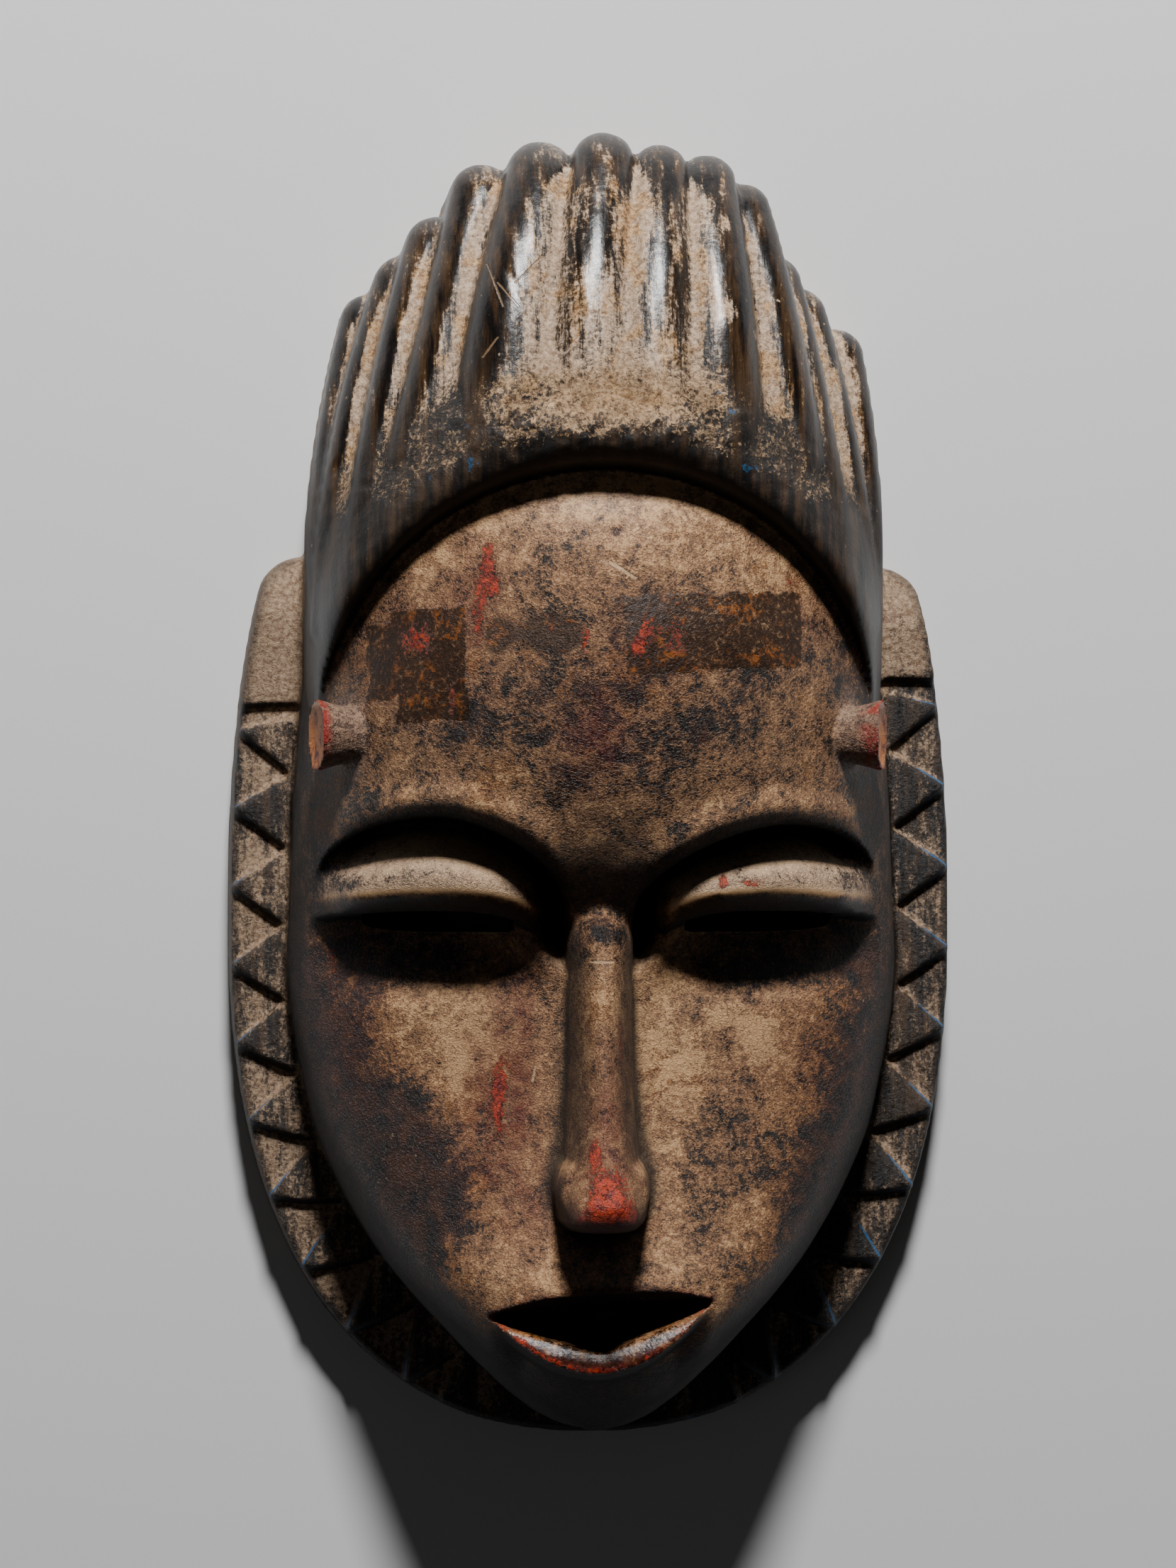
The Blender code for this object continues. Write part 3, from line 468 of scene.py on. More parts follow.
def outside_head(x, y):
    """Distance outside the foot of the head."""
    step = 0.0005
    lean = (head_width(y + step) - head_width(y - step)) / (2 * step)
    side = (abs(x) - head_width(y)) / np.sqrt(1 + lean**2)
    return np.maximum(side, HEAD_HALF_WIDTH[-1][0] - y)


def triangle_places(side, x, y):
    """How far inside a raised triangle a place of the collar is, how far out and how far along its row."""
    inside = np.maximum(oval(x, y)[0], 0.0)
    outside = outside_head(x, y) - TRIANGLE_BASE_GAP
    across = outside / np.maximum(inside + outside, 1e-5)
    run, outline_y, outline_run_at = outline_run(x, y)
    first = np.interp(FIRST_TRIANGLE_Y[side], outline_y, outline_run_at)
    phase = (first - run) / TRIANGLE_PITCH[side]
    from_point = abs(phase - np.round(phase))
    tooth = 1 - 2 * from_point - across
    tooth = np.where(phase < 0, 1 + phase / FIRST_TRIANGLE_UPPER - across, tooth)
    plain_end = 2 * (-phase - PLAIN_END_INNER + (PLAIN_END_INNER - PLAIN_END_OUTER) * across)
    tooth = np.maximum(tooth, plain_end)
    tooth = np.where(phase > TRIANGLES_A_SIDE - 0.5, 1 - across, tooth)
    return tooth, across, phase


def collar(x, y):
    inside = oval(x, y)[0]
    end = COLLAR_END_Y - COLLAR_END_TILT * x - y
    tooth = np.where(x < 0, triangle_places(-1, x, y)[0], triangle_places(+1, x, y)[0])
    top = COLLAR_THICKNESS + TRIANGLE_RISE * ease(-TRIANGLE_EDGE, TRIANGLE_EDGE, tooth)
    top = top - COLLAR_END_FALL * np.clip(1 - end / COLLAR_END_SLOPE, 0, 1.5) ** 1.5
    corner_x = np.clip(COLLAR_END_CORNER - inside, 0, None)
    corner_y = np.clip(COLLAR_END_CORNER - end, 0, None)
    edge = np.minimum(np.minimum(inside, end), COLLAR_END_CORNER - np.hypot(corner_x, corner_y))
    rounding = vault(1 - edge / COLLAR_EDGE_ROUND, 2)
    top = top - COLLAR_EDGE_ROUND * (1 - rounding)
    return np.where(edge > 0, top, top + STEEP * edge)


def brow_line(side, x):
    """Y of the brow's lower edge, by distance from the midline."""
    eye = EYES[side]
    peak_x, peak_y = eye["peak"]
    reach = np.where(x < peak_x, peak_x - eye["inner"][0], eye["outer"][0] - peak_x)
    foot = np.where(x < peak_x, eye["inner"][1], eye["outer"][1])
    curve = np.where(x < peak_x, BROW_INNER_CURVE, BROW_OUTER_CURVE)
    share = np.clip(abs(x - peak_x) / reach, 0, 1)
    return foot + (peak_y - foot) * (1 - share**curve) ** (1 / curve)


def lid_line(x):
    """Y of the lowered lid's front edge, by distance from the midline."""
    share = (x - LID_MIDDLE) / LID_REACH
    inner = LID_INNER_DROP * np.clip(-share, 0, None) ** 3
    outer = LID_OUTER_DROP * np.clip(share, 0, None) ** 2
    return LID_Y - inner - outer


def above_brow(side, x, y):
    """Distance above the brow's lower edge."""
    step = 0.0005
    lean = (brow_line(side, x + step) - brow_line(side, x - step)) / (2 * step)
    return (y - brow_line(side, x)) / np.sqrt(1 + np.clip(lean, -6, 6) ** 2)


def eye_carving(side, x, y):
    """How far one eye's brow, socket and lid stand above or below the plain head."""
    eye = EYES[side]
    brow, lid = brow_line(side, x), lid_line(x)
    above, below = above_brow(side, x, y), lid - y
    ends = ease(0, BROW_END_FADE, x - eye["inner"][0]) * ease(0, BROW_END_FADE, eye["outer"][0] - x)
    ridge = BROW_RISE * np.exp(-(((above - BROW_WIDTH) / BROW_WIDTH) ** 2)) * ends

    walls = ease(0, SOCKET_INNER_WALL, x - SOCKET_INNER_X) * ease(0, SOCKET_OUTER_WALL, SOCKET_OUTER_X - x)
    rise = LID_RISE * ease(LID_INNER_X, LID_FULL_X, x)
    down = np.clip((brow - y) / np.maximum(brow - lid, 0.002), 0, 1)
    lid_top = -SOCKET_DEPTH + (SOCKET_DEPTH + rise) * np.sin(0.5 * math.pi * down) ** LID_CURVE
    rim = rise * (1 - LID_RIM_FALL / LID_RISE * np.clip(below / LID_RIM, 0, 1) ** 2)
    middle = 0.5 * (UNDER_LID_INNER_X + SOCKET_OUTER_X)
    hooded = np.clip(1 - ((x - middle) / (SOCKET_OUTER_X - middle)) ** 2, 0, 1)
    cheek = -UNDER_LID_DEPTH * hooded * (1 - ease(LID_RIM, LID_RIM + UNDER_LID_LENGTH, below))
    under = ease(LID_RIM, LID_RIM + UNDER_LID_EDGE, below)
    lidded = np.where(below < 0, lid_top * walls, rim * walls * (1 - under) + cheek * under)
    corner = -INNER_CORNER_DEPTH * walls * (1 - ease(0, INNER_CORNER_LENGTH, below))
    carved = corner + (lidded - corner) * ease(0, LID_INNER_FADE, x - LID_INNER_X)
    under_brow = ease(0, BROW_EDGE, -above)
    return ridge * (1 - under_brow) + carved * under_brow


def nose(x, y):
    """The nose, a long rounded tube that stands on the face, with its two nostril wings."""
    width = through(NOSE_HALF_WIDTH, y)
    top = through(NOSE_RIDGE, y)
    foot = NOSE_FOOT * top
    tube = foot + (top - foot) * vault(abs(x) / width, through(NOSE_FULLNESS, y))
    beyond = np.maximum(y - NOSE_TOP_Y, NOSE_END_Y - y)
    beyond = np.maximum(beyond, abs(x) - width)
    tube = tube - STEEP * np.clip(beyond, 0, None)
    wing_x, wing_y, wing_z, wing_r = NOSTRIL
    from_wing = np.hypot(abs(x) - wing_x, (y - wing_y) / NOSTRIL_STRETCH)
    wing = wing_z + wing_r * (vault(from_wing / wing_r, 2) - 1)
    wing = wing - STEEP * np.clip(from_wing - wing_r, 0, None)
    return soft_max(tube, wing, NOSTRIL_BLEND)


def mouth_lines(x):
    """Y of the upper lip's edge, of the opening's roof and floor and of the lower lip's rim."""
    share = np.clip(abs(x) / MOUTH_HALF_WIDTH, 0, 1)
    upper = MOUTH_Y + UPPER_LIP_ARCH * (1 - share**3)
    roof = upper - UPPER_LIP_BEVEL * np.sqrt(1 - share**2)
    floor = MOUTH_Y - LOWER_LIP_INNER * (1 - share**LOWER_LIP_INNER_CURVE)
    rim = MOUTH_Y - LOWER_LIP_OUTER * (1 - share**LOWER_LIP_OUTER_CURVE)
    return upper, roof, floor, rim


def mouth_carving(x, y):
    """How far the lips and the mouth's opening stand above or below the plain head."""
    y = y - MOUTH_TILT * x
    upper, roof, floor, rim = mouth_lines(x)
    from_end = 1 - np.clip(abs(x) / MOUTH_HALF_WIDTH, 0, 1)
    lip = UPPER_LIP_RISE * np.exp(-(((y - upper) / UPPER_LIP_WIDTH) ** 2)) * ease(0, 0.5, from_end)
    bevel = np.clip((upper - y) / np.maximum(upper - roof, 1e-4), 0, 1)
    under_lip = UPPER_LIP_RISE - (UPPER_LIP_RISE + UPPER_LIP_DROP) * bevel**1.5
    across = np.clip((floor - y) / np.maximum(floor - rim, 1e-4), 0, 1)
    lower_lip = LOWER_LIP_RISE - LOWER_LIP_DISH * (1 - across) ** 1.3
    opening = ease(0, LIP_EDGE, roof - y) * ease(0, LIP_EDGE, y - floor + LIP_EDGE) * (from_end > 0)
    shape = np.where(y > upper, lip, np.where(y > roof, under_lip, lower_lip))
    shape = shape * ease(0, LIP_END_SHARE, from_end) - (MOUTH_DEPTH + shape) * opening
    below = rim - y
    chin = -CHIN_UNDERCUT * ease(0, CHIN_STEP, below) * (1 - ease(CHIN_STEP, CHIN_LENGTH, below))
    chin = chin + LOWER_LIP_RISE * (1 - ease(0, CHIN_STEP, below))
    return np.where(below > 0, chin * ease(0, CHIN_END_SHARE, from_end), shape)


def face(x, y):
    eyes = np.where(x < 0, eye_carving(-1, abs(x), y), eye_carving(+1, abs(x), y))
    carved = head(x, y) + eyes + mouth_carving(x, y)
    return soft_max(carved, nose(x, y), NOSE_FILLET)


def beyond_arch(x, y):
    """Distance outside the arch that the hair makes round the forehead."""
    u = np.maximum(abs(x), 1e-6) / ARCH_HALF_WIDTH
    v = np.clip(y - ARCH_CENTRE_Y, 0, None) / ARCH_RISE
    share = np.hypot(u, v)
    slope = np.hypot(u / ARCH_HALF_WIDTH, v / ARCH_RISE) / share
    return (share - 1) / slope


def hair_cap(x, y):
    """The hair's plain mass, before the locks are cut."""
    width = np.maximum(through(HAIR_HALF_WIDTH, y), 1e-5)
    cap = through(HAIR_RIDGE, y) * vault(abs(x) / width, through(HAIR_FULLNESS, y))
    beyond = np.maximum(abs(x) - width, y - HAIR_HALF_WIDTH[0][0])
    return cap - SHEER * np.clip(beyond, 0, None)


def lock(x, y, size):
    """One rounded lock, from its foot to its tip."""
    foot_x, foot_y, foot_z, foot_r, tip_x, tip_y, tip_z, tip_r, bow = size
    run_x, run_y = tip_x - foot_x, tip_y - foot_y
    along = ((x - foot_x) * run_x + (y - foot_y) * run_y) / (run_x**2 + run_y**2)
    share = np.clip(along, 0, 1)
    middle_x = foot_x + run_x * share + 4 * bow * share * (1 - share)
    middle_y = foot_y + run_y * share
    from_middle = np.hypot(x - middle_x, y - middle_y)
    radius = foot_r + (tip_r - foot_r) * share
    crest = tip_z + (foot_z - tip_z) * (1 - np.clip(along, 0, None) ** LOCK_DROP_CURVE)
    across = from_middle / radius
    rounded = crest - LOCK_FALL * radius * (1 - vault(across, 2))
    return rounded - SHEER * np.clip(from_middle - radius, 0, None)


def hair(x, y):
    mass = hair_cap(x, y)
    for size in LOCKS:
        mass = soft_max(mass, lock(x, y, size), LOCK_BLEND)
    roll = np.clip(1 - beyond_arch(x, y) / ARCH_ROLL, 0, None)
    mass = mass - ARCH_ROLL * (1 - vault(roll, 2)) - STEEP * ARCH_ROLL * np.clip(roll - 1, 0, None)
    return mass - HAIR_END_STEEP * np.clip(HAIR_END_Y - y, 0, None)


def head_with_face(x, y):
    body = face(x, y) - STEEP * np.clip(outside_head(x, y), 0, None)
    return body - STEEP * np.clip(y - HEAD_RIDGE[0][0], 0, None)


def lumps(x, y, size_x, size_y, seed):
    """Smooth noise between -1 and 1, with lumps of the given size."""
    rows, columns = LUMP_TABLE
    table = np.random.default_rng(seed).uniform(-1, 1, LUMP_TABLE)
    u, v = x / size_x + 1000.0, y / size_y + 1000.0
    i, j = np.floor(u).astype(int), np.floor(v).astype(int)
    s, t = u - i, v - j
    s, t = s * s * (3 - 2 * s), t * t * (3 - 2 * t)
    here, after = i % rows, (i + 1) % rows
    below, above = j % columns, (j + 1) % columns
    low = table[here, below] * (1 - s) + table[after, below] * s
    high = table[here, above] * (1 - s) + table[after, above] * s
    return low * (1 - t) + high * t


def crust(x, y):
    """1 on the rough band of the hair just above the arch, 0 elsewhere."""
    above = beyond_arch(x, y)
    return ease(0.001, 0.004, above) * (1 - ease(0.018, 0.036, above)) * ease(0.045, 0.07, y)


def cuts(x, y):
    """Depth share and shape of the cuts and dents."""
    deep = np.zeros_like(x)
    for at_x, at_y, length, breadth, turn, depth in CUTS:
        c, s = math.cos(turn), math.sin(turn)
        along = ((x - at_x) * c + (y - at_y) * s) / length
        across = ((y - at_y) * c - (x - at_x) * s) / breadth
        deep = deep + depth * np.exp(-(along**4) - across**2)
    return deep


def tool_marks(x, y, hair_share):
    """The gouge's soft facets, the hair's strands, the crust on its band and the cuts."""
    facets = FACET_DEPTH * (lumps(x, y, *FACET_LUMPS) + 0.5 * lumps(x, y, *SMALL_FACET_LUMPS))
    strands = STRAND_DEPTH * lumps(x + STRAND_SLANT * y, y, *STRAND_LUMPS) * hair_share
    grains = GRAIN_DEPTH * lumps(x, y, *GRAIN_LUMPS) * crust(x, y) * hair_share
    return facets + strands + grains - cuts(x, y)


def relief(x, y):
    """Height of the carved front over a point of the plan."""
    front = soft_max(collar(x, y), head_with_face(x, y), FILLET)
    locks = hair(x, y)
    hair_share = ease(-0.001, 0.001, locks - front)
    front = soft_max(front, locks, FILLET)
    return np.maximum(front + tool_marks(x, y, hair_share), -0.5 * STOCK_BELOW)


def new_object(name, mesh_maker):
    mesh = bpy.data.meshes.new(name)
    shape = bmesh.new()
    mesh_maker(shape)
    bmesh.ops.recalc_face_normals(shape, faces=shape.faces)
    shape.to_mesh(mesh)
    shape.free()
    made = bpy.data.objects.new(name, mesh)
    bpy.context.scene.collection.objects.link(made)
    return made


def relief_block(shape):
    """The block of wood with the relief on its top face."""
    half_x = COLLAR_HALF_WIDTH + STOCK_MARGIN
    low_y = COLLAR_CENTRE_Y - COLLAR_REACH_DOWN - STOCK_MARGIN
    high_y = max(size[5] + size[7] for size in LOCKS) + STOCK_MARGIN
    across = round(2 * half_x / GRID_STEP)
    along = round((high_y - low_y) / GRID_STEP)
    bmesh.ops.create_grid(shape, x_segments=across, y_segments=along, size=0.5)
    place = np.array([v.co for v in shape.verts])
    x = place[:, 0] * 2 * half_x
    y = (place[:, 1] + 0.5) * (high_y - low_y) + low_y
    z = relief(x, y)
    for vert, point in zip(shape.verts, np.stack([x, y, z], axis=1)):
        vert.co = point
    rim = [edge for edge in shape.edges if edge.is_boundary]
    skirt = bmesh.ops.extrude_edge_only(shape, edges=rim)["geom"]
    for vert in (item for item in skirt if isinstance(item, bmesh.types.BMVert)):
        vert.co.z = -STOCK_BELOW
    foot = [item for item in skirt if isinstance(item, bmesh.types.BMEdge)]
    bmesh.ops.contextual_create(shape, geom=foot)


def peg_axis(side):
    return Matrix.Rotation(side * (0.5 * math.pi - PEG_TILT), 4, "Y")


def ear_peg(shape, side):
    """A turned stub whose axis points outwards and a little forwards, with a dished end."""
    outline = [Vector((radius, 0, share * PEG_LENGTH)) for share, radius in PEG_PROFILE]
    rim_radius = PEG_PROFILE[-1][1]
    outline.append(Vector((PEG_DISH_SHARE * rim_radius, 0, PEG_LENGTH - PEG_DISH)))
    outline.append(Vector((0, 0, PEG_LENGTH - PEG_DISH)))
    outline.insert(0, Vector((0, 0, 0)))
    verts = [shape.verts.new(point) for point in outline]
    edges = [shape.edges.new(pair) for pair in zip(verts, verts[1:])]
    bmesh.ops.spin(
        shape, geom=verts + edges, cent=(0, 0, 0), axis=(0, 0, 1),
        angle=2 * math.pi, steps=PEG_SIDES, use_merge=True,
    )
    bmesh.ops.remove_doubles(shape, verts=shape.verts, dist=1e-6)
    lean = peg_axis(side)
    end = Vector((side * PEG_X, PEG_Y, PEG_Z))
    axis = lean @ Vector((0, 0, 1))
    place = Matrix.Translation(end - axis * PEG_LENGTH) @ lean
    bmesh.ops.transform(shape, matrix=place, verts=shape.verts)


def carved_front(shape):
    relief_block(shape)
    for side in (-1, 1):
        peg = bmesh.new()
        ear_peg(peg, side)
        stub = bpy.data.meshes.new("ear_peg")
        bmesh.ops.recalc_face_normals(peg, faces=peg.faces)
        peg.to_mesh(stub)
        peg.free()
        shape.from_mesh(stub)
        bpy.data.meshes.remove(stub)


def hollow(shape):
    """Cutter for the space behind the face: rings that climb from the rim to a ceiling."""
    n = HOLLOW_SQUARENESS
    below = -2 * STOCK_BELOW
    rings = []
    for ring in range(HOLLOW_RINGS + 1):
        share = math.sin(0.5 * math.pi * (1 - ring / HOLLOW_RINGS))
        row = []
        for spoke in range(HOLLOW_SPOKES):
            turn = 2 * math.pi * spoke / HOLLOW_SPOKES
            c, s = math.cos(turn), math.sin(turn)
            reach_x = math.copysign(abs(c) ** (2 / n), c) * HOLLOW_HALF_WIDTH
            reach_y = math.copysign(abs(s) ** (2 / n), s) * HOLLOW_HALF_LENGTH
            x, y = share * reach_x, HOLLOW_CENTRE_Y + share * reach_y
            z = float(through(HOLLOW_CEILING, np.array(y)) * vault(share, HOLLOW_FULLNESS))
            z += GOUGE_DEPTH * float(lumps(np.array(x), np.array(y), *GOUGE_LUMPS)) * (ring > 0)
            row.append(shape.verts.new((x, y, z)))
            if ring == HOLLOW_RINGS:
                break
        rings.append(row)
    foot = [shape.verts.new((v.co.x, v.co.y, below)) for v in rings[0]]
    rings.insert(0, foot)
    shape.faces.new(reversed(foot))
    for low, high in zip(rings, rings[1:]):
        for spoke in range(HOLLOW_SPOKES):
            after = (spoke + 1) % HOLLOW_SPOKES
            if len(high) == 1:
                shape.faces.new((low[spoke], low[after], high[0]))
            else:
                shape.faces.new((low[spoke], low[after], high[after], high[spoke]))


def eye_slit(shape, side):
    """Cutter for the slit under one lid, a bar that follows the lid's edge."""
    corners = []
    for i in range(EYE_SLIT_STATIONS):
        share = i / (EYE_SLIT_STATIONS - 1)
        x = EYE_SLIT_INNER_X + share * (EYE_SLIT_OUTER_X - EYE_SLIT_INNER_X)
        top = float(lid_line(np.array(x))) - LID_RIM - EYE_SLIT_CLEAR
        gap = EYE_SLIT_END_GAP + (EYE_SLIT_GAP - EYE_SLIT_END_GAP) * math.sin(math.pi * share) ** 0.5
        corners.append((side * x, top, gap))
    low = 0.5 * min(height for _, height in HOLLOW_CEILING)
    high = max(height for _, height in HEAD_RIDGE)
    sections = []
    for x, top, gap in corners:
        section = [(x, top, low), (x, top - gap, low), (x, top - gap, high), (x, top, high)]
        sections.append([shape.verts.new(point) for point in section])
    for here, after in zip(sections, sections[1:]):
        for i in range(4):
            j = (i + 1) % 4
            shape.faces.new((here[i], here[j], after[j], after[i]))
    shape.faces.new(sections[0])
    shape.faces.new(reversed(sections[-1]))


def ground(shape):
    """Cutter for everything below the flat back rim."""
    bmesh.ops.create_cube(shape, size=1.0)
    depth = 4 * STOCK_BELOW
    size = Matrix.Diagonal((1.0, 1.0, depth, 1.0))
    bmesh.ops.transform(shape, matrix=Matrix.Translation((0, 0, -0.5 * depth)) @ size, verts=shape.verts)


def blurred(grid, reach):
    """The grid, smoothed over a reach given in cells."""
    rows = np.fft.fftfreq(grid.shape[0])[:, None]
    columns = np.fft.rfftfreq(grid.shape[1])[None, :]
    keep = np.exp(-2 * (math.pi * reach) ** 2 * (rows**2 + columns**2))
    return np.fft.irfft2(np.fft.rfft2(grid) * keep, s=grid.shape)


def reader(field, step, low_x, low_y):
    """Reads a grid of values at any place, straight between its cells."""
    def read(x, y):
        u = np.clip((x - low_x) / step, 0, field.shape[1] - 1.001)
        v = np.clip((y - low_y) / step, 0, field.shape[0] - 1.001)
        j, i = u.astype(int), v.astype(int)
        s, t = u - j, v - i
        low = field[i, j] * (1 - s) + field[i, j + 1] * s
        high = field[i + 1, j] * (1 - s) + field[i + 1, j + 1] * s
        return low * (1 - t) + high * t
    return read


def ridge_readers():
    """How far the relief stands above its smoothed self, finely and broadly."""
    xs = np.arange(-0.112, 0.112, RIDGE_STEP)
    ys = np.arange(-0.19, 0.19, RIDGE_STEP)
    grid = np.clip(relief(*np.meshgrid(xs, ys)), 0, None)
    above = [grid - blurred(grid, reach / RIDGE_STEP) for reach in RIDGE_REACHES]
    return [reader(field, RIDGE_STEP, xs[0], ys[0]) for field in above]


def bell(offset, width):
    """1 where there is no offset, falling to 0 on both sides."""
    return np.exp(-((offset / width) ** 2))


def span(start, full, wane, end, at):
    """1 from full to wane, falling to 0 at start and end."""
    return ease(start, full, at) * ease(end, wane, at)


def spot(x, y, at_x, at_y, size_x, size_y):
    """A soft spot of 1 at a place, falling to 0 round it."""
    return np.exp(-(((x - at_x) / size_x) ** 2) - ((y - at_y) / size_y) ** 2)


def spots(x, y, places):
    """The sum of soft spots, each with its strength, place and size."""
    return sum(strength * spot(x, y, *place) for strength, *place in places)


def peg_places(points):
    """For each point, how far it lies out along the nearer peg, and from that peg's axis."""
    along = np.zeros(len(points))
    away = np.zeros(len(points))
    for side in (-1, 1):
        axis = np.array(peg_axis(side) @ Vector((0, 0, 1)))
        rest = points - np.array((side * PEG_X, PEG_Y, PEG_Z))
        run = rest @ axis
        here = points[:, 0] * side > 0
        along = np.where(here, run, along)
        away = np.where(here, np.linalg.norm(rest - run[:, None] * axis, axis=1), away)
    return along, away


def surface_marks(points, normals):
    """Shares of hair, collar, dust, wear and paint at each point of the mask, and of painted light and
    shade.
    """
    x, y, z = points.T
    far = abs(x)
    locks, plate, skull = hair(x, y), collar(x, y), head_with_face(x, y)
    shown = ease(-0.006, -0.003, z - relief(x, y)) * ease(-0.6, -0.2, normals[:, 2])
    hair_share = ease(-MARK_EDGE, MARK_EDGE, locks - np.maximum(plate, skull))
    collar_share = ease(-MARK_EDGE, MARK_EDGE, plate - np.maximum(locks, skull))
    face_share = np.clip(1 - hair_share - collar_share, 0, 1)
    fine, broad = (above(x, y) for above in ridge_readers())
    left, right = triangle_places(-1, x, y), triangle_places(+1, x, y)
    tooth, across, phase = (np.where(x < 0, a, b) for a, b in zip(left, right))
    rim_share = far / np.maximum(head_width(y), 1e-4)
    lower_face = ease(-0.03, -0.07, y)
    up_facing, down_facing_shade = ease(0.15, 0.75, normals[:, 1]), ease(0.42, 0.8, -normals[:, 1])

    # Dust lies in the hollows and wears off the ridges; the paleness on what faces up is partly dust and
    # partly painted light
    face_dust = 0.47 + spots(x, y, FACE_TONES) + 0.07 * ease(0.0002, 0.001, -fine)
    # Darker towards the face's outer edge, more so low down: painted shade on the sides that turn away from
    # the light
    face_dust -= (0.18 + 0.22 * lower_face) * ease(0.6, 0.96, rim_share)
    outward = normals[:, 0] * np.tanh(x / 0.01)
    hair_dust = 0.5 - 0.24 * ease(0.0002, 0.0026, broad) + 0.16 * ease(0.0002, 0.002, -broad)
    hair_dust += 0.1 * ease(0.1, 0.6, -outward) - 0.11 * ease(0.1, 0.6, outward)
    hair_dust -= 0.2 * ease(0.012, 0.002, beyond_arch(x, y)) + 0.06 * ease(0.075, 0.04, y)
    hair_dust += 0.15 * spot(x, y, 0.004, 0.104, 0.032, 0.011) + spots(x, y, HAIR_CLODS)
    hair_dust += 0.17 * ease(0.04, 0.066, far) * ease(0.075, 0.105, y)
    raised = ease(-0.03, 0.03, tooth) * ease(-0.25, -0.15, phase)
    plate_dust = 0.56 - 0.12 * raised + 0.2 * ease(-0.2, -0.6, phase) - 0.08 * ease(0.0, 0.04, x)
    plate_dust -= 0.08 * ease(0.0002, 0.001, fine)
    dust = face_dust * face_share + hair_dust * hair_share + plate_dust * collar_share
    # Paler on what faces up, partly dust and partly painted light; darker on what faces down, which is
    # painted shade
    dust += 0.1 * up_facing - 0.3 * down_facing_shade
    wear = ease(0.0004, 0.0016, fine) * (1 - 0.85 * face_share)

    # Lips, red at both edges
    upper, _, floor, rim = mouth_lines(x)
    lip_y = y - MOUTH_TILT * x
    in_mouth = ease(0, 0.003, MOUTH_HALF_WIDTH + 0.001 - far)
    upper_edge = 0.5 * bell(lip_y - upper, 0.0011)
    lower_edge = (0.66 - 0.16 * ease(0.0, 0.02, x)) * bell(lip_y - rim - 0.001, 0.0018)
    lips = (upper_edge + lower_edge) * in_mouth
    lower_lip = ease(0, 0.001, floor - lip_y) * ease(-0.001, 0.001, lip_y - rim) * in_mouth
    red = (spots(x, y, RED_FLECKS) + lips) * face_share
    tint = (spots(x, y, RED_TINTS) + 1.3 * lips) * face_share

    # Lids, paler above, partly dust and partly painted light, with a painted highlight along the edge and
    # polish at the rim
    below_lid = lid_line(far) - y
    across_lid = span(0.014, 0.02, 0.07, 0.078, far)
    lid_rim = ease(-0.0006, 0.0004, below_lid) * ease(-0.0004, 0.0004, LID_RIM - below_lid) * across_lid
    lid_edge_polish_and_painted_highlight = bell(below_lid + 0.0006, 0.0014) * across_lid
    # The pale line along the lid's edge is a painted highlight; the same mark also polishes it
    dust += (0.3 * lid_edge_polish_and_painted_highlight - 0.08 * lid_rim - 0.16 * lower_lip) * face_share
    on_lid = ease(0, 0.002, -below_lid) * ease(-0.012, -0.018, y) * span(0.016, 0.024, 0.074, 0.082, far)
    # Paler where the face turns up towards the light: painted light. On the lids it is partly pale dust and
    # partly painted light
    lit = up_facing * (1 - 0.5 * on_lid) * (1 - spot(x, y, 0.0, -0.035, 0.014, 0.009))
    pale = 0.8 * np.maximum(lit, on_lid) * face_share * (1 - lower_face)

    # Blue round the triangles and in the hair, ochre on the collar's edge
    blue = bell(tooth, 0.055) * ease(-0.3, -0.1, phase) * ease(0.0, 0.7, across) * collar_share
    blue *= 0.7 + 0.18 * ease(0, 0.03, x) + 0.16 * ease(4.0, 7.0, phase)
    blue += spots(x, y, HAIR_BLUES) * hair_share
    ochre = 0.58 * collar_share * ease(0.86, 0.98, across) + 0.62 * spot(x, y, 0.019, 0.036, 0.008, 0.008)

    along, away = peg_places(points)
    radius = PEG_PROFILE[-1][1]
    on_peg = ease(-0.014, -0.011, along) * ease(radius + 0.002, radius + 0.0006, away)
    peg_end = on_peg * ease(-0.0022, -0.0012, along) * ease(radius - 0.0003, radius - 0.0018, away)
    peg_red = on_peg * ease(-0.0035 - 0.0035 * (x > 0), -0.0008, along) * (1 - peg_end)

    # Painted shade in deep and steep places and on what faces down, and the polish of much touched ones
    # Painted shade in deep recesses such as the mouth's opening and under the lids
    deep = ease(0.003, 0.008, -broad) * face_share
    steep_shade = ease(0.3, 0.85, 1 - normals[:, 2] - 0.18 * hair_share) * (1 - up_facing)
    steep_shade *= (1 - 0.6 * collar_share) * (1 - 0.75 * hair_share * ease(0.075, 0.115, y))
    shade = (deep + 0.75 * down_facing_shade * (1 - lower_lip) + 0.75 * steep_shade) * (1 - on_peg)
    polish = 0.8 * spot(x, y, 0.0, 0.082, 0.04, 0.02) + 0.5 * spot(x, y, 0.0, -0.11, 0.014, 0.012)
    polish += 0.9 * lower_lip + 0.8 * lid_rim + lid_edge_polish_and_painted_highlight
    gloss = hair_share * ease(-0.0002, 0.0014, broad) + polish * face_share

    in_front = {
        "hair": hair_share, "collar": collar_share, "wear": wear, "red": red, "tint": tint, "blue": blue,
        "ochre": ochre, "stain": spots(x, y, STAINS) * face_share, "crust": crust(x, y) * hair_share,
        "shade": shade, "gloss": gloss,
    }
    marks = {name: value * shown for name, value in in_front.items()}
    marks.update(shown=shown, dust=dust, pale=pale, peg=on_peg, peg_end=peg_end, peg_red=peg_red)
    marks["warm"] = ease(0.4, 0.9, rim_share) * face_share * lower_face
    return {name: np.clip(value, 0, 1) for name, value in marks.items()}


